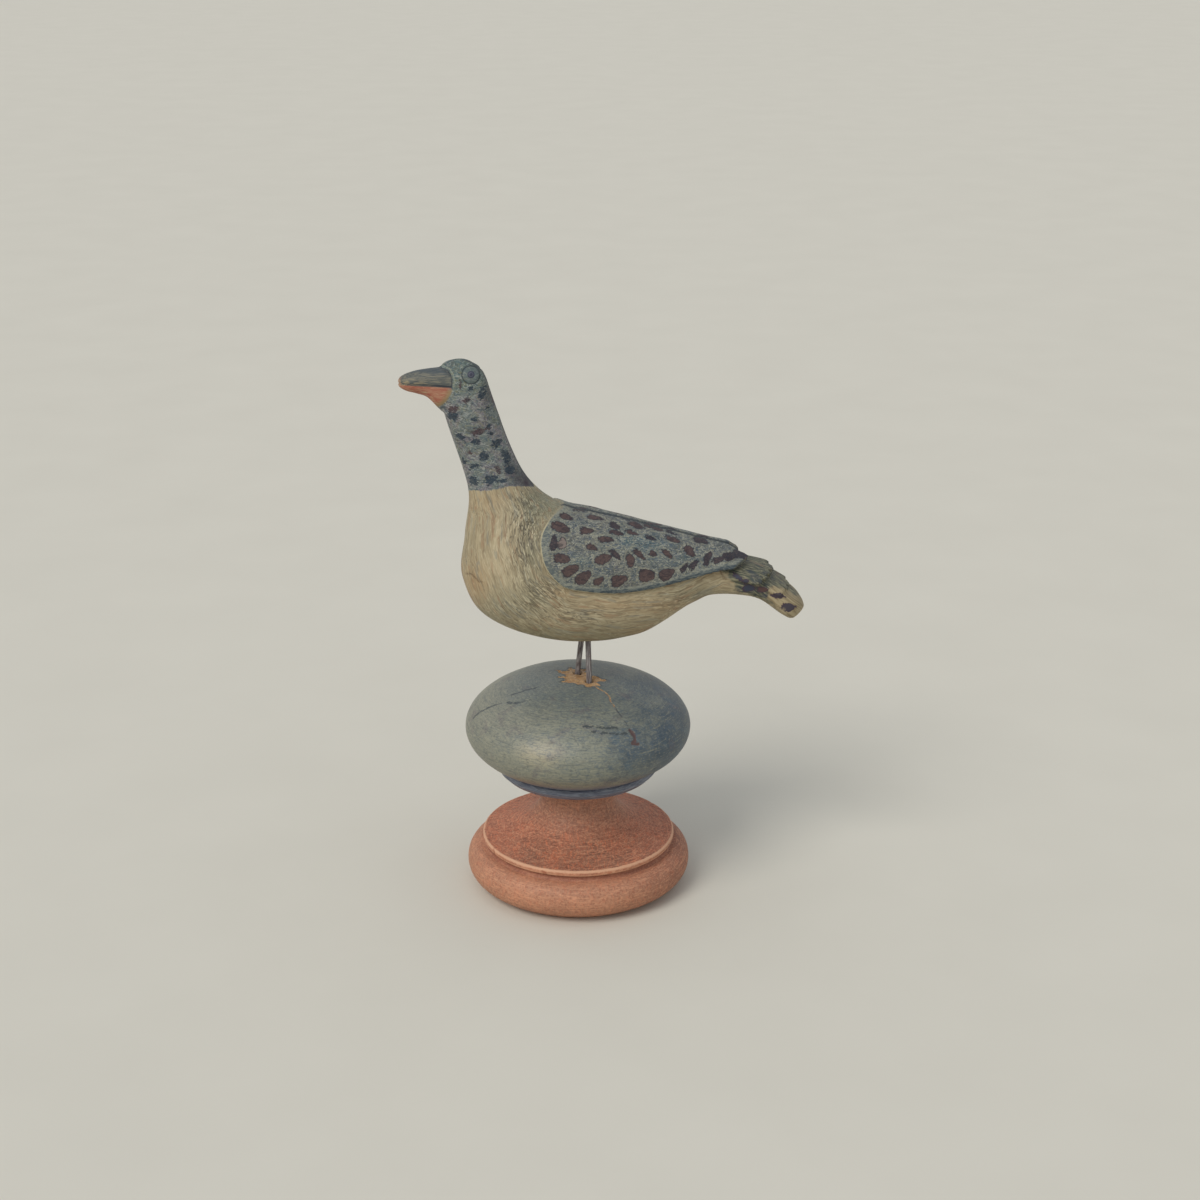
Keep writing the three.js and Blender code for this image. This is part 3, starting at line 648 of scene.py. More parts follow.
def make_bird():
    mesh = bird_mesh()
    corners = relaxed(positions(mesh), edge_ends(mesh), 2)
    move(mesh, corners)
    out = normals(mesh)
    x, y, z = corners.T
    left_side = y < 0
    to_camera = CAMERA_AT - corners * [1, 0, 1]
    to_camera /= np.linalg.norm(to_camera, axis=1)[:, None]
    mirrored = np.stack([out[:, 0], -np.sign(y + 1e-9) * out[:, 1], out[:, 2]], 1)
    faces_us = np.clip((mirrored * to_camera).sum(1), 0, 1)
    run, sine, height = BodyMap().read(corners)

    # Where each point lies against the carved and painted edges
    side_view = corners[:, [0, 2]]
    plan = np.stack([x, np.abs(y)], 1)
    shapes = [wing_shapes(side) for side in (-1, 1)]
    side_edge, plan_edge = (np.where(left_side, *(inside(flat, shape[i]) for shape in shapes))
                            for i, flat in enumerate((side_view, plan)))
    wing = np.minimum(side_edge, plan_edge)
    wing = np.where(height > 0.15, wing, np.minimum(wing, -0.05))
    place = picture_place(corners)
    lumps = np.stack([wobble(corners, 3.1, 1), wobble(corners, 3.1, 2)], 1)
    ragged = place + 1.5 * lumps
    beak = inside(place, BEAK_EDGE) * MM_PER_PIXEL
    mouth = (place[:, 1] - height_of_line(place[:, 0], MOUTH_IN_PICTURE)) * MM_PER_PIXEL
    neck = (height_of_line(place[:, 0], NECK_EDGE) - place[:, 1]) * MM_PER_PIXEL
    eye = np.linalg.norm(place - EYE_IN_PICTURE, axis=1) * EYE_SCALE
    on_head = x < -30
    on_beak = smooth(beak, 0.1, 0.8)

    # Relief finer than the solids hold
    relief = on_head * (-0.36 * bump(eye - EYE_RING_RADIUS, 0.4)
                        - 0.2 * bump(eye - 1.5, 0.3) + 0.1 * bump(eye, 1.1))
    relief -= on_beak * 0.45 * bump(line_distance(side_view, MOUTH_LINE), 0.38)
    relief -= 0.18 * bump(beak + 0.35, 0.45) * (z > 205)
    relief -= 0.1 * bump(side_edge - 2.5, 0.5) * (wing > 0)
    relief -= 0.2 * bump(wing + 0.35, 0.4) * (height < 0.4)
    for line, depth, width in CUTS:
        relief -= depth * bump(line_distance(place, line) * MM_PER_PIXEL, width) * left_side
    flow = np.stack([run, inside(place, STROKES_ROUND) * MM_PER_PIXEL, 18 * sine], 1)
    knife = wobble(flow * [0.35, 1, 1], 4.2, 3) * 0.1 + wobble(corners, 11, 4) * 0.16
    relief += knife * (1 - 0.6 * on_beak)
    move(mesh, corners + out * relief[:, None])

    # What the paint follows
    spots, tone = both_sides(corners, ragged, WING_SPOTS, faces_us)
    tail_spots, tail_tone = both_sides(corners, ragged, TAIL_SPOTS, faces_us)
    neck_spots, neck_tone = both_sides(corners, ragged, NECK_SPOTS, faces_us)
    cracks = np.minimum(line_distance(place, BREAST_CRACK), line_distance(place, TAIL_CRACK))
    note(mesh, flow=flow, edge=EDGE_SCALE * edge_field(mesh), neck=neck, beak=beak, mouth=mouth,
         wing=np.where(np.abs(y) < 5, side_edge, wing), side=side_edge, middle=np.abs(y),
         eye=np.where(on_head, eye, 99), tip=np.linalg.norm(corners - BEAK_TIP, axis=1),
         tail=inside(place, TAIL_EDGE) * MM_PER_PIXEL,
         tail_tan=inside(place, TAIL_TAN) * MM_PER_PIXEL,
         wing_spots=np.where((wing > 0.25) | (x > 60), spots, -9),
         tail_spots=tail_spots, neck_spots=neck_spots,
         tone=np.where(x > 60, tail_tone, np.where(neck > 0, neck_tone, tone)),
         front_rim=smooth(-x, -26, 2) * smooth(-z, -163, -158),
         lower=smooth(x, -8, 8) * smooth(152 - z, 0, 8),
         # where the form faces backward, for the painted shade down the back of the neck
         behind=smooth(out[:, 0], 0.0, 0.4),
         crack=bump(np.where(left_side, cracks * MM_PER_PIXEL, 9), 0.3),
         **{name: clouds(place, blots) for name, blots in CLOUDS.items()})
    return mesh


# ---------------------------------------------------------------- paints
def rgb(red, green, blue):
    """A colour given as it looks on a screen, 0 to 255, as light."""
    parts = [c / 255 for c in (red, green, blue)]
    return (*[c / 12.92 if c <= 0.04045 else ((c + 0.055) / 1.055) ** 2.4 for c in parts], 1)


class Paint:
    """A material put together from layers of brushwork."""

    def __init__(self, name, specular=0.4):
        self.material = bpy.data.materials.new(name)
        self.material.use_nodes = True
        self.tree = self.material.node_tree
        self.shader = self.tree.nodes["Principled BSDF"]
        self.shader.inputs["Specular IOR Level"].default_value = specular
        coordinates = self.tree.nodes.new("ShaderNodeTexCoord").outputs["Object"]
        self.place = self.vector("SCALE", coordinates, scale=1 / MM)

    def put(self, socket, value):
        if isinstance(value, bpy.types.NodeSocket):
            self.tree.links.new(value, socket)
        else:
            socket.default_value = value

    def vector(self, operation, a, b=None, scale=None):
        node = self.tree.nodes.new("ShaderNodeVectorMath")
        node.operation = operation
        self.put(node.inputs[0], a)
        if b is not None:
            self.put(node.inputs[1], b)
        if scale is not None:
            self.put(node.inputs["Scale"], scale)
        return node.outputs[0]

    def math(self, operation, a, b=0.0):
        node = self.tree.nodes.new("ShaderNodeMath")
        node.operation = operation
        self.put(node.inputs[0], a)
        self.put(node.inputs[1], b)
        return node.outputs[0]

    def part(self, at, axis):
        node = self.tree.nodes.new("ShaderNodeSeparateXYZ")
        self.put(node.inputs[0], at)
        return node.outputs[axis]

    def add(self, a, b):
        return self.math("ADD", a, b)

    def times(self, a, b):
        return self.math("MULTIPLY", a, b)

    def mark(self, name, vector=False):
        node = self.tree.nodes.new("ShaderNodeAttribute")
        node.attribute_name = name
        return node.outputs["Vector" if vector else "Fac"]

    def noise(self, at, size, detail=2.0, rough=0.55, warp=0.0, seed=0.0):
        """Clouds of this size in mm, or of (x, y, z) sizes, from 0 to 1."""
        sizes = size if isinstance(size, tuple) else (size, size, size)
        scaled = self.vector("MULTIPLY", at, tuple(1 / s for s in sizes))
        if seed:
            scaled = self.vector("ADD", scaled, (seed * 3.7, seed * 9.1, seed * 5.3))
        node = self.tree.nodes.new("ShaderNodeTexNoise")
        for name, value in (("Vector", scaled), ("Scale", 1.0), ("Detail", detail),
                            ("Roughness", rough), ("Distortion", warp)):
            self.put(node.inputs[name], value)
        return node.outputs[0]

    def strokes(self, at, size, seed, warp=1.2, width=0.05):
        """Thin wandering lines, this far apart in mm."""
        return self.near(self.noise(at, size, 1.0, 0.5, warp, seed), 0.5, width)

    def drift(self, at, size, reach):
        """These places moved about by soft noise, by up to half of reach in mm."""
        node = self.tree.nodes.new("ShaderNodeTexNoise")
        self.put(node.inputs["Vector"], self.vector("SCALE", self.place, scale=1 / size))
        self.put(node.inputs["Scale"], 1.0)
        away = self.vector("SUBTRACT", node.outputs[1], (0.5, 0.5, 0.5))
        return self.vector("ADD", at, self.vector("SCALE", away, scale=reach))

    def between(self, value, low, high, smooth_step=True):
        """0 below low and 1 above high."""
        node = self.tree.nodes.new("ShaderNodeMapRange")
        node.interpolation_type = "SMOOTHSTEP" if smooth_step else "LINEAR"
        for name, given in (("Value", value), ("From Min", low), ("From Max", high)):
            self.put(node.inputs[name], given)
        return node.outputs[0]

    def near(self, value, middle, width):
        """1 where value is at the middle, falling to 0 this far from it."""
        off = self.math("ABSOLUTE", self.add(value, -middle))
        return self.between(off, width, 0.0)

    def over(self, below, above, amount):
        """One colour over another, each a socket or as it looks on a screen, 0 to 255."""
        node = self.tree.nodes.new("ShaderNodeMix")
        node.data_type = "RGBA"
        self.put(node.inputs[0], amount)
        for socket, colour in ((node.inputs[6], below), (node.inputs[7], above)):
            self.put(socket, rgb(*colour) if isinstance(colour, tuple) else colour)
        return node.outputs[2]

    def layers(self, colour, *rows):
        """Rows of a colour and its amounts, which multiply, each laid over the last."""
        for above, *amounts in rows:
            colour = self.over(colour, above, functools.reduce(self.times, amounts))
        return colour

    def done(self, colour, roughness, relief, depth=0.12):
        """Colour, roughness and relief, the last in parts of depth in mm."""
        self.put(self.shader.inputs["Base Color"], colour)
        self.put(self.shader.inputs["Roughness"], roughness)
        bumps = self.tree.nodes.new("ShaderNodeBump")
        self.put(bumps.inputs["Height"], relief)
        bumps.inputs["Strength"].default_value = 1.0
        bumps.inputs["Distance"].default_value = depth * MM
        self.put(self.shader.inputs["Normal"], bumps.outputs[0])
        return self.material


def bird_paint():
    p = Paint("bird_paint", 0.3)
    flow = p.mark("flow", vector=True)
    wing, neck, beak, mouth, side = (p.mark(n) for n in ("wing", "neck", "beak", "mouth", "side"))
    edge, tone = p.mark("edge"), p.mark("tone")
    ragged = p.add(p.noise(p.place, 0.9, 3, 0.6), -0.5)
    fine = p.noise(p.place, 0.45, 2, 0.6)

    # Tan breast and belly, brushed along the form
    waved = p.drift(flow, 8, 1.2)
    fibre = p.noise(waved, (10, 0.9, 0.9), 2, 0.5, 0.2)
    broad = p.noise(waved, (26, 3.2, 3.2), 3, 0.55, 0.2, seed=8)
    blotch = p.noise(waved, (12, 1.7, 1.7), 2, 0.55, 0.5, seed=9)
    scribble = p.mark("scribble")
    tan = p.layers(
        (152, 139, 112),
        ((174, 160, 130), p.between(broad, 0.38, 0.62)),
        ((188, 174, 144), p.mark("pale"), 0.6),
        ((122, 124, 104), p.mark("olive"), 0.75),
        ((174, 142, 104), p.mark("warm"), 0.75),
        ((118, 104, 80), p.between(fibre, 0.53, 0.6), 0.45),
        ((124, 128, 122), p.between(blotch, 0.58, 0.66), 0.4),
        ((150, 112, 84), p.between(blotch, 0.42, 0.35), 0.4))
    pale_line = p.strokes(waved, (8, 1.1, 1.1), 2, 0.4, 0.055)
    ink_line = p.strokes(waved, (7, 1.1, 1.1), 5, 0.5, 0.06)
    ink_line_b = p.strokes(waved, (5, 1.3, 1.3), 13, 0.7, 0.065)
    tan = p.layers(
        tan,
        ((214, 204, 174), pale_line, p.add(0.25, p.times(scribble, 0.4))),
        ((80, 72, 58), ink_line, p.add(0.2, p.times(scribble, 0.6))),
        ((70, 66, 60), ink_line_b, scribble, 0.72))

    # Neck and head, dabbed in curly strokes of grey
    haze = p.noise(p.place, 5, 2, 0.5, 0.3, seed=4)
    curls = p.noise(p.place, (2.4, 2.4, 1.4), 2, 0.55, 1.6, seed=3)
    grey = p.layers(
        (110, 118, 116),
        ((124, 119, 124), p.between(haze, 0.42, 0.62)),
        ((94, 108, 102), p.between(p.part(p.place, "Z"), 206, 214)),
        ((70, 78, 82), p.between(curls, 0.46, 0.38), 0.5),
        ((138, 142, 134), p.between(curls, 0.55, 0.62), 0.4),
        ((126, 124, 92), p.strokes(p.place, (4, 4, 2.4), 6, 1.4), 0.55),
        ((70, 94, 106), p.strokes(p.place, (4, 4, 2.6), 19, 1.5, 0.06), 0.5),
        ((166, 168, 162), p.strokes(p.place, (4.2, 4.2, 2.1), 20, 1.2), 0.55),
        ((46, 52, 62), p.strokes(p.place, (4.4, 4.4, 2.3), 22, 1.3, 0.045), 0.5),
        ((62, 54, 62), p.mark("dark"), p.between(haze, 0.15, 0.5)))
    # Painted shade down the back of the neck, where it faces away from the light
    nape_shade = p.times(p.between(p.mark("middle"), 1.8, 0.6), p.mark("behind"))
    grey = p.over(grey, (50, 58, 64), p.times(nape_shade, 0.75))
    eye = p.mark("eye")
    grey = p.layers(
        grey,
        ((94, 104, 106), p.between(eye, 3.6, 2.8), 0.5),
        ((40, 48, 56), p.near(eye, EYE_RING_RADIUS, 0.5), 0.85),
        ((60, 62, 78), p.between(p.add(eye, p.times(ragged, 0.3)), 1.55, 1.25)),
        ((112, 114, 124), p.near(eye, 0.8, 0.3), 0.45))
    tattered = p.noise(p.place, (1.9, 1.9, 0.8), 2, 0.6, 0.8, seed=21)
    neck_spot = p.add(p.mark("neck_spots"), p.times(p.add(tattered, -0.5), 3.6))
    neck_dab = p.layers(
        (44, 58, 71),
        ((76, 60, 64), p.between(p.add(tone, p.times(ragged, 0.5)), 0.3, 0.65)),
        ((34, 38, 50), p.between(curls, 0.52, 0.42), 0.6),
        ((122, 124, 118), p.strokes(p.place, (2, 2, 1.3), 23), 0.35))
    grey = p.over(grey, neck_dab, p.times(p.between(neck_spot, -0.1, 0.2), 0.95))

    # Wings, slate with fine light and dark hatching
    quill = p.noise(p.drift(p.place, 6, 2), (3, 3, 1.2), 2, 0.55, 1.2, seed=7)
    wash = p.noise(p.place, (9, 9, 5), 2, 0.5, 0.4, seed=12)
    slate = p.layers(
        (90, 97, 98),
        ((102, 102, 98), p.between(wash, 0.4, 0.65)),
        ((76, 102, 110), p.mark("teal"), 0.7),
        ((124, 128, 120), p.between(quill, 0.54, 0.61), 0.6),
        ((62, 72, 80), p.between(quill, 0.46, 0.39), 0.6),
        ((122, 120, 92), p.strokes(p.place, (3.4, 3.4, 1.7), 24, 1.8), 0.5),
        ((70, 82, 108), p.strokes(p.place, (3.2, 3.2, 2), 25, 1.8, 0.06), 0.4),
        ((180, 178, 160), p.strokes(p.place, (3, 3, 1.15), 26, 1.5), 0.62),
        ((46, 54, 60), p.strokes(p.place, (2.8, 2.8, 1.3), 27, 1.7), 0.58))
    band = p.between(p.add(side, p.times(ragged, 0.6)), 2.7, 2.3)
    slate = p.over(slate,
                   p.over((96, 104, 102), (138, 140, 128), p.between(quill, 0.44, 0.56)),
                   p.times(band, 0.6))
    # Painted shade along the wing's lower edge, which faces down
    low_edge_shade = p.times(p.between(p.add(side, p.times(ragged, 0.8)), 1.9, 1.3), p.between(
        p.mark("lower"), 0.3, 0.7))
    slate = p.layers(
        slate,
        (p.over((56, 67, 75), (92, 100, 99), p.between(quill, 0.44, 0.6)), low_edge_shade, 0.85),
        # painted shade in the groove between the wings, down the middle of the back
        ((58, 64, 68), p.between(p.mark("middle"), 2.2, 0.8), 0.8))
    wing_spot = p.add(p.mark("wing_spots"), p.times(ragged, 1.5))
    slate = p.over(slate, (150, 144, 122), p.times(p.near(wing_spot, -0.42, 0.32), 0.35))
    dab = p.layers(
        (44, 42, 52),
        ((79, 62, 61), p.between(tone, 0.05, 0.8)),
        ((128, 116, 110), p.between(tone, 1.1, 1.7)),
        ((112, 92, 84), p.strokes(p.place, (2, 2, 1.2), 28), 0.45),
        ((44, 38, 44), p.between(quill, 0.5, 0.4), 0.6))
    dab = p.over((44, 40, 48), dab, p.between(wing_spot, 0.05, 0.45))
    slate = p.over(slate, dab, p.times(p.between(wing_spot, -0.1, 0.15), 0.95))

    # Tail: grey-green feathers over a tan end
    lines = p.noise(flow, (9, 0.9, 0.9), 2, 0.55, 0.4, seed=14)
    plume = p.layers(
        (70, 76, 68),
        ((112, 110, 90), p.between(lines, 0.42, 0.6)),
        ((156, 150, 122), p.strokes(flow, (9, 1.4, 1.4), 29, 0.3, 0.06), 0.66),
        ((44, 48, 52), p.strokes(flow, (9, 1.5, 1.5), 30, 0.3, 0.06), 0.7),
        ((58, 64, 80), p.between(p.noise(p.place, 5, 2, 0.5, 0.6, seed=15), 0.54, 0.68), 0.4),
        ((118, 92, 78), p.between(p.noise(p.place, 4, 2, 0.5, 0.6, seed=18), 0.6, 0.7), 0.35))
    tail_tan = p.add(p.mark("tail_tan"), p.times(p.add(p.noise(p.place, 3, 2), -0.5), 3.0))
    plume = p.over(plume, p.over((132, 118, 90), (166, 152, 122), p.between(lines, 0.4, 0.6)),
                   p.between(tail_tan, -0.5, 0.9))
    tail_spot = p.add(p.mark("tail_spots"), p.times(ragged, 1.5))
    plume = p.over(plume,
                   p.over(p.over((58, 62, 76), (88, 66, 64), tone), (68, 54, 66),
                          p.between(tail_spot, 0.5, 0.1)), p.between(tail_spot, -0.1, 0.14))

    # Beak: slate above the mouth, red below, worn to wood at the tip
    flakes = p.noise(p.place, (7, 0.7, 0.5), 3, 0.62, 0.5, seed=16)
    upper = p.layers(
        (86, 90, 88),
        ((122, 119, 106), p.between(flakes, 0.4, 0.62)),
        ((64, 76, 86), p.between(mouth, -4.6, -6.2), 0.6),
        ((60, 66, 72), p.strokes(p.place, (8, 1.6, 1.2), 39, 0.5), 0.45),
        ((158, 144, 112), p.between(flakes, 0.5, 0.6), p.between(mouth, -4.5, -1.0),
         p.between(beak, 5, 12)),
        ((150, 132, 98), p.between(beak, 12, 17), 0.5),
        # painted shade along the mouth, under the upper beak's edge
        ((50, 56, 66), p.near(mouth, -0.45, 0.9), p.between(beak, 14.0, 5.0)))
    red = p.noise(p.place, (4, 1.0, 0.8), 3, 0.6, 0.8, seed=17)
    lower = p.layers(
        (156, 97, 78),
        ((170, 125, 101), p.between(red, 0.4, 0.62)),
        ((172, 150, 120), p.between(red, 0.6, 0.7), 0.7),
        ((146, 76, 66), p.between(red, 0.4, 0.32), 0.5))
    bill = p.over(upper, lower, p.between(p.add(mouth, p.times(ragged, 0.3)), -0.1, 0.25))
    tip = p.between(p.add(p.mark("tip"), p.times(ragged, 2.2)), 4.0, 1.6)
    bill = p.over(bill, (186, 144, 116), p.times(tip, 0.75))

    # One over another
    tail_edge = p.add(p.mark("tail"), p.times(p.add(p.noise(p.place, 4, 3), -0.5), 7.0))
    colour = p.over(tan, plume, p.times(p.between(tail_edge, -0.6, 1.2), p.between(neck, 5, -5)))
    neck_edge = p.add(neck, p.times(p.add(p.noise(p.place, 1.1, 2), -0.5), 1.3))
    colour = p.layers(
        colour,
        (grey, p.between(neck_edge, -0.25, 0.25)),
        (slate, p.between(wing, -0.1, 0.15)))
    beak_edge = p.add(beak, p.times(ragged, 0.6))
    root = p.between(mouth, 1.0, -0.5)
    colour = p.layers(
        colour,
        ((150, 154, 138), p.near(beak_edge, -0.75, 0.4), root, 0.5),
        ((134, 116, 84), p.between(beak_edge, -0.9, 0.1), p.between(mouth, 0.0, 1.5)),
        (bill, p.over(p.between(beak_edge, -0.4, 2.4), p.between(beak_edge, -0.1, 0.1), root)),
        ((52, 58, 66), p.near(beak_edge, 0.25, 0.4), root, 0.7))

    # Wear on raised edges, painted shade in hollows
    raised = p.between(p.add(edge, p.times(ragged, 0.05)), 0.025, 0.07)
    wearing = p.times(p.between(wing, 0.0, -0.6), p.between(eye, 4.5, 5.5))
    east = p.part(p.place, "X")
    colour = p.layers(
        colour,
        ((186, 172, 140), raised, 0.4, wearing, p.between(east, 60, 50)),
        ((60, 62, 62), raised, p.between(east, 50, 60), 0.5))
    # A pale line along the wing's front edge: worn paint, with a painted highlight where the edge
    # faces the light
    rim = p.near(p.add(side, p.times(ragged, 0.7)), 0.05, 0.42)
    colour = p.layers(
        colour,
        ((190, 180, 148), rim, p.mark("front_rim"), 0.85),
        # painted shade in the hollows
        ((56, 54, 58), p.between(edge, -0.02, -0.08), 0.7),
        ((104, 84, 62), p.mark("crack"), 0.75))
    relief = p.add(p.times(fibre, 0.5), p.times(p.add(curls, quill), 0.3))
    rough = p.add(0.5, p.times(fine, 0.2))
    return p.done(colour, rough, relief, 0.1)


# ---------------------------------------------------------------- turned stand
TURNING_SIDES = 400
TURNING_STEP = 0.7
STROKE_RADIUS = 3  # mm, the small circle that brushwork round a turning is drawn on


def bezier(points, count):
    a, b, c, d = (np.array(p, float) for p in points)
    t = np.linspace(0, 1, count)[1:, None]
    return (1 - t) ** 3 * a + 3 * (1 - t) ** 2 * t * b + 3 * (1 - t) * t * t * c + t**3 * d


def evenly(profile, step):
    """The profile again, with points about a step apart and its own points kept."""
    run = [profile[0]]
    for a, b in zip(profile[:-1], profile[1:]):
        count = max(1, int(math.ceil(np.linalg.norm(b - a) / step)))
        run += [a + (b - a) * (i + 1) / count for i in range(count)]
    return np.array(run)


def turned_mesh(profile):
    """A closed turning, and each corner's place on it by its turn and its run."""
    profile = evenly(np.array(profile, float), TURNING_STEP)
    inner = profile[1:-1]
    angle = np.linspace(0, 2 * math.pi, TURNING_SIDES, endpoint=False)
    x = inner[:, :1] * np.cos(angle)
    y = inner[:, :1] * np.sin(angle)
    z = np.repeat(inner[:, 1:], TURNING_SIDES, axis=1)
    rings = np.stack([x, y, z], -1)
    start, end = (np.array([0, 0, profile[i, 1]]) for i in (0, -1))
    mesh = tube(rings, start, end)
    run = np.concatenate([[0], np.cumsum(np.linalg.norm(np.diff(profile, axis=0), axis=1))])
    along = np.concatenate([[0], np.repeat(run[1:-1], TURNING_SIDES), [run[-1]]])
    turn = np.concatenate([[0], np.tile(angle, len(inner)), [0]])
    return mesh, np.stack([STROKE_RADIUS * np.cos(turn), STROKE_RADIUS * np.sin(turn), along], 1)


# Ball: a flattened sphere on a collar
BALL_CENTRE = 68.9
BALL_RADIUS = 45.9
BALL_HALF_HEIGHT = 21.2
BALL_START = math.asin((54.35 - BALL_CENTRE) / BALL_HALF_HEIGHT)
BALL_UNDER = [(0, 48.5), (15.9, 48.5), (30.8, 49.0), (32.0, 50.3), (32.6, 50.85), (32.8, 51.3),
              (32.85, 52.2), (32.75, 53.1), (32.4, 53.6), (31.9, 53.9)]
LEG_FEET = [(4.6, -5.2, 90.0), (-0.1, 3.4, 90.0)]
BARE_WOOD = [(-9.2, 6.6), (-4.6, 4.4), (-3.4, 9.6), (-1.2, 6.4), (3.2, 7.6), (2.6, 4.2), (5.2, 0.4),
             (12.0, -4.0), (7.6, -6.6), (9.2, -9.4), (6.2, -9.2), (5.2, -11.4), (1.8, -9.2),
             (-1.8, -7.6), (-7.2, -6.2), (-4.0, -3.8), (-8.0, -2.2), (-4.0, -0.4), (-7.4, 3.0)]
CRACK_BARE = [(6.2, -9.6, 89.2), (8.3, -11.2, 89.1), (10.8, -13.4, 88.5), (12.7, -16.5, 87.8),
              (13.4, -19.6, 87.0), (14.7, -22.7, 86.0)]
CRACK_DARK = [(14.7, -22.7, 86.0), (16.0, -25.2, 85.0), (17.9, -28.0, 83.5), (21.1, -32.5, 80.2)]
GOUGE = [(20.8, -32.6, 80.2), (22.4, -34.6, 78.2), (22.6, -35.9, 77.2), (21.9, -37.0, 76.3)]
GOUGE_FOOT = [(21.9, -37.0, 76.3), (24.0, -36.2, 76.0)]
SCRATCHES = [
    [(2.3, -34.9, 82.6), (9.0, -34.8, 82.2), (15.9, -33.4, 81.5)],
    [(6.0, -36.6, 81.0), (13.0, -36.4, 80.2), (19.0, -34.6, 79.4)],
    [(-41.9, -10.8, 76.0), (-38.6, -11.6, 79.2), (-36.0, -11.8, 80.9), (-31.0, -13.4, 83.0)],
    [(-38.4, -15.6, 77.0), (-34.0, -17.0, 79.6), (-30.4, -17.4, 81.4)],
    [(-28.0, -15.2, 84.1), (-24.0, -17.0, 84.9), (-19.0, -17.4, 86.0)],
    [(-26.6, -10.2, 85.5), (-22.0, -9.6, 87.0), (-16.7, -9.1, 88.2)],
    [(30.0, 8.0, 84.4), (24.0, 18.0, 84.2), (15.0, 26.0, 83.8)],
    [(-12.0, 34.0, 82.0), (-22.0, 32.0, 80.6), (-29.0, 28.0, 79.6)],
    [(38.0, 12.0, 76.0), (35.0, 22.0, 75.0), (30.0, 28.0, 75.5)],
]
# Where a warm highlight is painted on the ball
PAINTED_HIGHLIGHT_AT = np.array([-14.2, -40.5, 73.5])
BALL_DENTS = 34


def ball_profile():
    points = list(BALL_UNDER)
    for angle in np.linspace(BALL_START, math.pi / 2, 150):
        radius = max(BALL_RADIUS * math.cos(angle), 0)
        points.append((radius, BALL_CENTRE + BALL_HALF_HEIGHT * math.sin(angle)))
    points[-1] = (0, points[-1][1])
    return points


def dents(corners, count, low, high):
    """Small knocks at random places on the mesh, in mm of depth."""
    depth = np.zeros(len(corners))
    picked = corners[(corners[:, 2] > low) & (corners[:, 2] < high)]
    for _ in range(count):
        centre = picked[RNG.integers(len(picked))]
        size = RNG.uniform(0.6, 1.7)
        stretch = np.array([1, 1, RNG.uniform(1.0, 2.4)])
        away = np.linalg.norm((corners - centre) * stretch, axis=1)
        depth += RNG.uniform(0.08, 0.22) * bump(away, size)
    return depth


def make_ball():
    mesh, turning = turned_mesh(ball_profile())
    corners, out = positions(mesh), normals(mesh)
    plan = corners[:, :2] + 1.1 * np.stack([wobble(corners, 1.7, 1), wobble(corners, 1.7, 2)], 1)
    bare = np.where(corners[:, 2] > 80, inside(plan, BARE_WOOD), -9)
    crooked = corners + 0.55 * np.stack([wobble(corners, 2.4, s) for s in (3, 4, 5)], 1)
    crack_bare = line_distance(crooked, CRACK_BARE)
    crack_dark = line_distance(crooked, CRACK_DARK)
    gouge = np.minimum(line_distance(crooked, GOUGE), line_distance(crooked, GOUGE_FOOT))
    scratch = np.min([line_distance(crooked, s) for s in SCRATCHES], axis=0)
    feet = np.min([np.linalg.norm(corners - f, axis=1) for f in LEG_FEET], axis=0)
    splinters = wobble(corners * [0.45, 1, 1], 0.7, 6) + 0.6 * wobble(corners, 1.6, 7)
    relief = 0.1 * wobble(corners, 13, 8) + 0.05 * wobble(corners, 4.5, 9)
    relief -= smooth(bare, -0.2, 0.5) * (0.4 - 0.28 * splinters)
    relief += 0.14 * bump(bare + 0.5, 0.5)
    relief -= 1.5 * smooth(-feet, -2.1, -1.2)
    relief -= 0.4 * bump(crack_bare, 0.4) + 0.3 * bump(crack_dark, 0.35)
    relief -= 0.45 * bump(gouge, 0.7) + 0.08 * bump(scratch, 0.4)
    relief -= dents(corners, BALL_DENTS, 54, 89) * (corners[:, 2] > 53)
    relief -= 0.2 * bump(line_distance(np.stack([np.hypot(*corners[:, :2].T), corners[:, 2]], 1),
                                       [(31.0, 54.0), (31.9, 54.1)]), 0.5)
    relief = np.where(corners[:, 2] < 49.2, 0, relief)
    move(mesh, corners + out * relief[:, None])
    note(mesh, turning=turning, edge=edge_field(mesh, 2), bare=bare, feet=feet,
         crack_bare=bump(crack_bare, 0.55), crack_dark=bump(crack_dark, 0.5),
         gouge=bump(gouge, 1.15), scratch=bump(scratch, 0.85),
         glow=bump(np.linalg.norm((corners - PAINTED_HIGHLIGHT_AT) * [0.8, 1, 1.5], axis=1), 9))
    return mesh


# Base: a rounded foot, a disc with a fillet below its rim, and a flared neck
BASE_LOW = [(0, 0), (37.8, 0), (38.2, 0.2), (38.4, 0.6)]
BEAD_HEIGHT = 3.2
BASE_DENTS = 30


def base_profile():
    return [*BASE_LOW,
            *bezier([(38.4, 0.6), (42.4, 2.4), (46, 4.8), (46, 9.6)], 26),
            *bezier([(46, 9.6), (46, 13.1), (44, 16.6), (39.6, 16.6)], 26),
            *bezier([(39.6, 16.6), (38.6, 16.6), (38.1, 17.4), (38.1, 19)], 8),
            (39.0, 19.05), (39.4, 19.25), (39.6, 19.7), (39.62, 20.6), (39.5, 21.15),
            (39.1, 21.5), *bezier([(39.1, 21.5), (30.2, 22.5), (14.9, 26.8), (14.9, 40)], 60),
            (14.9, 48.2), (0, 48.2)]


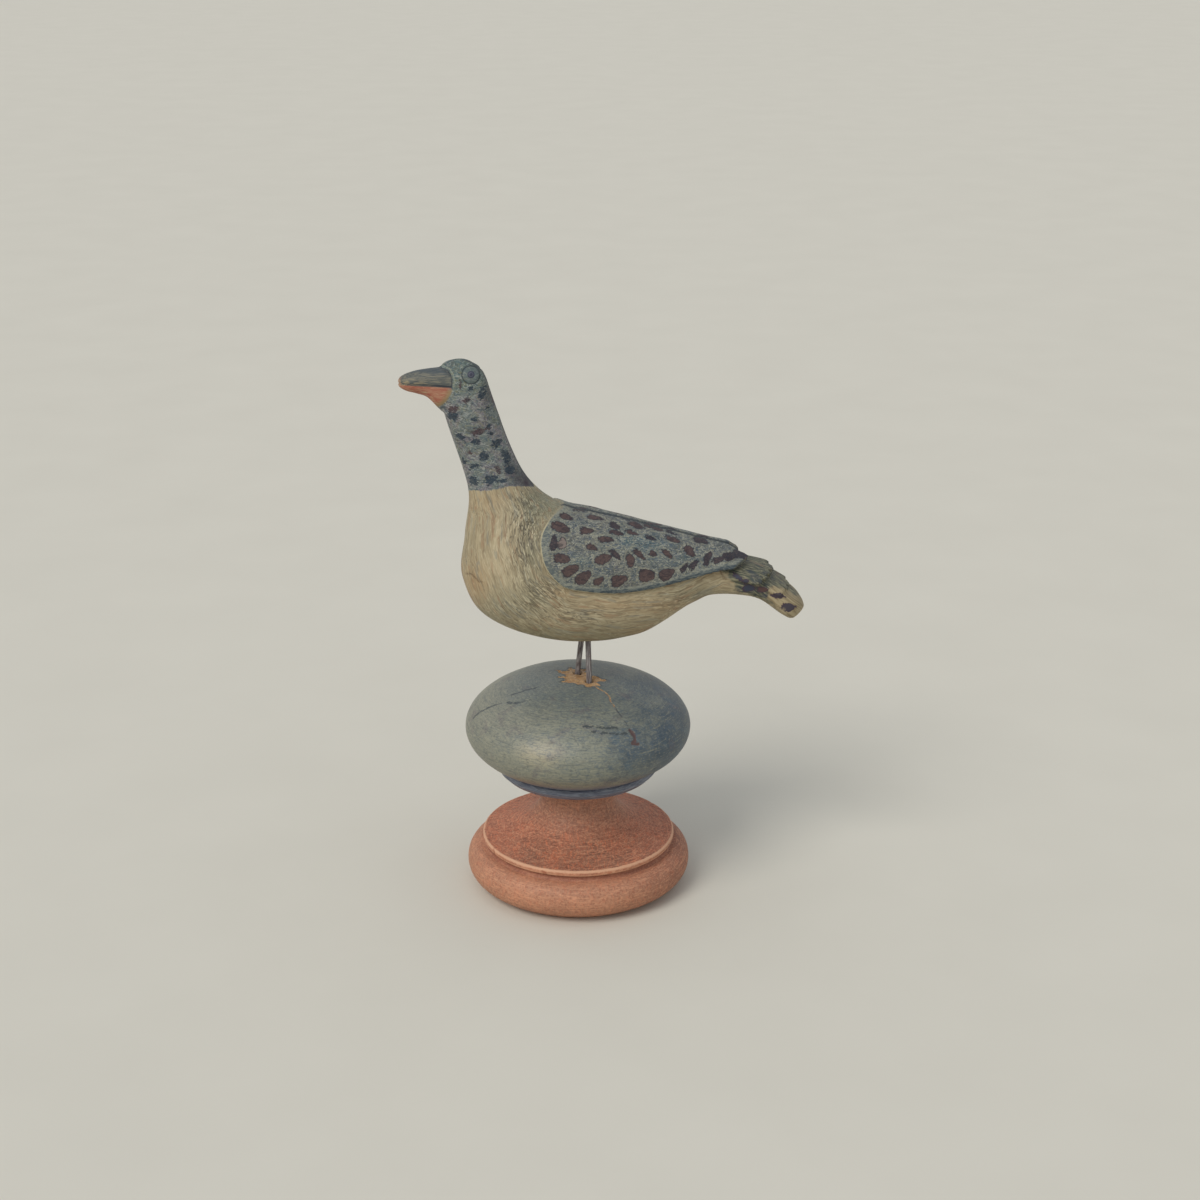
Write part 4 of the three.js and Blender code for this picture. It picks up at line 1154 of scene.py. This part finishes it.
def make_base():
    mesh, turning = turned_mesh(base_profile())
    corners, out = positions(mesh), normals(mesh)
    radius = np.hypot(corners[:, 0], corners[:, 1])
    section = np.stack([radius, corners[:, 2]], 1)
    bead = np.abs(corners[:, 2] - BEAD_HEIGHT) + np.where(radius > 39, 0, 9)
    relief = 0.08 * wobble(corners, 12, 21) + 0.045 * wobble(corners, 3.5, 22)
    relief -= 0.16 * bump(bead, 0.35)
    relief -= dents(corners, BASE_DENTS, 2, 40)
    chips = wobble(corners, 3.2, 23) - 0.35
    rim = bump(line_distance(section, [(39.6, 19.3), (39.5, 21.3)]), 0.9)
    relief -= 0.5 * rim * np.clip(chips, 0, 1)
    relief = np.where((corners[:, 2] < 0.3) | (corners[:, 2] > 46), 0, relief)
    move(mesh, corners + out * relief[:, None])
    note(mesh, turning=turning, edge=edge_field(mesh, 2), bead=bump(bead, 0.5),
         under_rim=bump(line_distance(section, [(38.3, 17.0), (38.1, 19.0)]), 0.9),
         disc=smooth(radius, 15, 24) * smooth(corners[:, 2], 20.8, 21.4))
    return mesh


# Legs: straight wires that go into the ball and the bird
LEGS = {
    "leg_left": ((4.6, -5.2, 90.0), (4.2, -5.0, 108.0)),
    "leg_right": ((-0.1, 3.4, 90.0), (1.9, 4.6, 108.0)),
}
LEG_RADIUS = 1.15
LEG_SINK = 7.0


def make_leg(foot, top):
    foot, top = np.array(foot), np.array(top)
    step = (top - foot) / np.linalg.norm(top - foot)
    start, end = foot - LEG_SINK * step, top + LEG_SINK * step
    side = np.cross(step, [0, 1, 0])
    side /= np.linalg.norm(side)
    other = np.cross(step, side)
    length = np.linalg.norm(end - start)
    run = np.concatenate([[0, 0.15, 0.4], np.linspace(0.8, length - 0.8, 76),
                          [length - 0.4, length - 0.15, length]])
    angle = np.linspace(0, 2 * math.pi, 40, endpoint=False)
    shrink = np.interp(run, [0, 0.15, 0.4, length - 0.4, length - 0.15, length],
                       [0.7, 0.9, 1, 1, 0.9, 0.7])
    around = np.cos(angle)[:, None] * side + np.sin(angle)[:, None] * other
    rings = start + run[:, None, None] * step + LEG_RADIUS * shrink[:, None, None] * around
    mesh = tube(rings, start, end)
    corners, out = positions(mesh), normals(mesh)
    relief = 0.05 * wobble(corners * [1, 1, 0.22], 0.8, 31) + 0.03 * wobble(corners, 3, 32)
    move(mesh, corners + out * (relief - 0.03)[:, None])
    return mesh


def ball_paint():
    p = Paint("ball_paint", 0.55)
    turning = p.mark("turning", vector=True)
    ragged = p.add(p.noise(p.place, 1.1, 3, 0.6), -0.5)
    sweep = p.noise(p.drift(turning, 6, 0.5), (0.8, 0.8, 0.5), 3, 0.62, 0.6, seed=31)
    sweep_b = p.noise(p.drift(turning, 9, 0.8), (0.5, 0.5, 0.42), 2, 0.6, 1.0, seed=32)
    cloud = p.noise(p.place, 14, 3, 0.55, 0.5, seed=33)
    speck = p.noise(p.place, 0.9, 1, 0.5, 0.5, seed=34)
    # Painted shade: the ball turns darker and bluer towards its right side, away from the light
    east = p.between(p.part(p.place, "X"), -34, 44, False)
    side = p.add(east, p.times(p.add(cloud, -0.5), 0.9))
    colour = p.layers(
        (132, 132, 117),
        ((131, 133, 119), p.between(side, 0.05, 0.5)),
        ((60, 75, 87), p.between(side, 0.5, 0.95)),
        # painted shade on the top, under the bird
        ((86, 98, 102), p.between(p.part(p.place, "Z"), 81, 89), 0.6),
        # a painted highlight: a warm pale patch low on the front left of the ball
        ((176, 164, 134), p.between(p.mark("glow"), 0.2, 1), 0.6),
        ((150, 148, 126), p.between(sweep, 0.55, 0.65), 0.4),
        ((70, 84, 92), p.between(sweep_b, 0.55, 0.66), 0.45),
        ((96, 84, 92), p.between(p.noise(p.place, 10, 3, 0.6, 0.6, seed=35), 0.56, 0.7), 0.4),
        ((74, 98, 112), p.between(p.noise(p.place, 8, 3, 0.6, 0.6, seed=38), 0.58, 0.7), east,
         0.5),
        ((60, 68, 74), p.between(speck, 0.56, 0.68), 0.35),
        ((156, 152, 134), p.between(speck, 0.44, 0.32), 0.28),
        ((160, 158, 138), p.strokes(turning, (0.7, 0.7, 1.2), 37, 0.5),
         p.add(0.3, p.times(side, -0.2))),
        ((54, 64, 72), p.strokes(turning, (0.6, 0.6, 1.3), 40, 0.6), 0.3),
        ((62, 84, 104), p.strokes(p.place, (5, 2, 2), 46, 0.8, 0.06),
         p.add(0.12, p.times(side, 0.45))))
    bare = p.add(p.mark("bare"), p.times(ragged, 1.3))
    grain = p.noise(p.place, (3.2, 0.5, 0.8), 3, 0.65, 0.5, seed=36)
    wood = p.layers(
        (150, 110, 72),
        ((196, 162, 118), p.between(grain, 0.38, 0.6)),
        ((104, 70, 48), p.between(grain, 0.6, 0.68), 0.7))
    colour = p.layers(
        colour,
        ((62, 68, 76), p.near(bare, -0.45, 0.7), 0.5),
        (wood, p.between(bare, -0.1, 0.12)),
        # painted shade round the holes where the legs go in
        ((46, 36, 34), p.between(p.mark("feet"), 1.8, 1.25)),
        ((48, 56, 62), p.between(p.add(p.mark("scratch"), p.times(ragged, 1.8)), 0.4, 0.85),
         0.8),
        ((60, 60, 64), p.between(p.add(p.mark("crack_dark"), p.times(ragged, 0.8)), 0.5, 0.9),
         0.8),
        (wood, p.between(p.add(p.mark("crack_bare"), p.times(ragged, 0.9)), 0.5, 0.85)),
        ((88, 62, 58), p.between(p.add(p.mark("gouge"), p.times(ragged, 1.1)), 0.5, 0.8), 0.9),
        ((134, 126, 108), p.between(p.mark("edge"), 0.02, 0.06), 0.4),
        # painted shade in the hollows
        ((50, 50, 60), p.between(p.mark("edge"), -0.02, -0.07), 0.6))
    low = p.between(p.add(p.part(p.place, "Z"), p.times(p.add(sweep, -0.5), 7)), 60, 54.6)
    under = p.layers(
        (124, 129, 142),
        ((78, 85, 106), p.between(sweep_b, 0.36, 0.6)),
        ((52, 58, 72), p.strokes(turning, (0.8, 0.8, 1.3), 47, 0.6), 0.5))
    colour = p.over(colour, under, p.times(low, 0.9))
    relief = p.add(p.times(sweep_b, 0.6), p.times(speck, 0.3))
    return p.done(colour, p.add(0.34, p.times(sweep, 0.2)), relief, 0.08)


def base_paint():
    p = Paint("base_paint", 0.35)
    turning = p.mark("turning", vector=True)
    sweep = p.noise(p.drift(turning, 6, 0.5), (0.8, 0.8, 0.5), 3, 0.62, 0.8, seed=41)
    speck = p.noise(p.place, 0.9, 1, 0.5, 0.5, seed=42)
    hatch = p.strokes(p.drift(p.place, 9, 6), (1.2, 5, 5), 43, 0.5, 0.06)
    hatch_b = p.strokes(p.drift(p.place, 9, 6), (5, 1.2, 5), 44, 0.5, 0.06)
    hatch_c = p.strokes(turning, (0.7, 0.7, 1.2), 48, 0.5, 0.06)
    cloud = p.noise(p.place, 15, 3, 0.55, 0.5, seed=45)
    disc = p.mark("disc")
    torus = p.between(p.part(p.place, "Z"), 17.4, 16.2)
    colour = p.layers(
        (166, 108, 84),
        ((186, 124, 96), p.between(cloud, 0.35, 0.65)),
        ((180, 134, 106), torus, 0.6),
        ((182, 114, 86), disc, 0.6),
        # painted shade on the right side of the torus, away from the light
        ((120, 76, 62), p.between(p.part(p.place, "X"), 14, 46), torus, 0.55))
    front = p.times(disc, p.between(p.part(p.place, "Y"), -6, -30))
    colour = p.over(colour, (134, 96, 78),
                    p.times(p.times(front, p.between(cloud, 0.3, 0.6)), 0.8))
    neck = p.between(p.part(p.place, "Z"), 24, 34)
    colour = p.layers(
        colour,
        ((158, 118, 98), neck, 0.7),
        ((218, 126, 88), hatch, p.add(0.2, p.times(disc, 0.32))),
        ((88, 56, 48), hatch_b, p.add(0.12, p.times(disc, 0.36))),
        ((222, 160, 124), hatch_c, 0.4),
        ((210, 160, 128), p.between(sweep, 0.6, 0.7), 0.45),
        ((122, 68, 54), p.between(speck, 0.54, 0.66), 0.3),
        ((218, 160, 128), p.between(speck, 0.44, 0.34), 0.2))
    ragged = p.add(p.noise(p.place, 1.1, 3, 0.6), -0.5)
    worn = p.between(p.add(p.mark("edge"), p.times(ragged, 0.06)), 0.02, 0.06)
    colour = p.layers(
        colour,
        ((216, 168, 136), worn, 0.85),
        # painted shade in the cove under the disc's rim
        ((96, 56, 46), p.mark("under_rim"), 0.35),
        ((128, 74, 58), p.mark("bead"), 0.3))
    relief = p.add(p.times(hatch, 0.3), p.times(speck, 0.5))
    return p.done(colour, p.add(0.5, p.times(speck, 0.2)), relief, 0.1)


def leg_paint():
    p = Paint("leg_wire", 0.5)
    streak = p.noise(p.place, (0.35, 0.35, 6), 3, 0.6, 0.3, seed=51)
    spot = p.noise(p.place, (0.9, 0.9, 1.6), 3, 0.6, seed=52)
    colour = p.layers(
        (112, 104, 106),
        ((166, 162, 160), p.between(streak, 0.46, 0.64)),
        ((64, 52, 54), p.between(streak, 0.46, 0.36), 0.8),
        ((122, 100, 88), p.between(spot, 0.58, 0.7), 0.6))
    return p.done(colour, p.add(0.4, p.times(spot, 0.25)), p.add(streak, spot), 0.08)


finished("bird", make_bird(), bird_paint(), ["bird"])
finished("stand_ball", make_ball(), ball_paint(), ["stand_ball"])
finished("stand_base", make_base(), base_paint(), ["stand_base"])
wire = leg_paint()
for leg_name, leg_line in LEGS.items():
    finished(leg_name, make_leg(*leg_line), wire, [leg_name])

# ---------------------------------------------------------------- the floor
FLOOR_HALF = 14.0
floor_corners = np.array([(x, y, 0) for x, y in ((-1, -1), (1, -1), (1, 1), (-1, 1))]) * FLOOR_HALF
floor = object_of("floor", mesh_of("floor", floor_corners, [[0, 1, 2, 3]]))
floor_look = Paint("floor", 0.2)
floor_tone = floor_look.over((216, 212, 200), (210, 206, 194), floor_look.noise(
    floor_look.place, 60, 3, 0.5))
floor.data.materials.append(floor_look.done(floor_tone, 0.85, floor_look.noise(
    floor_look.place, 2.5, 3, 0.6), 0.02))
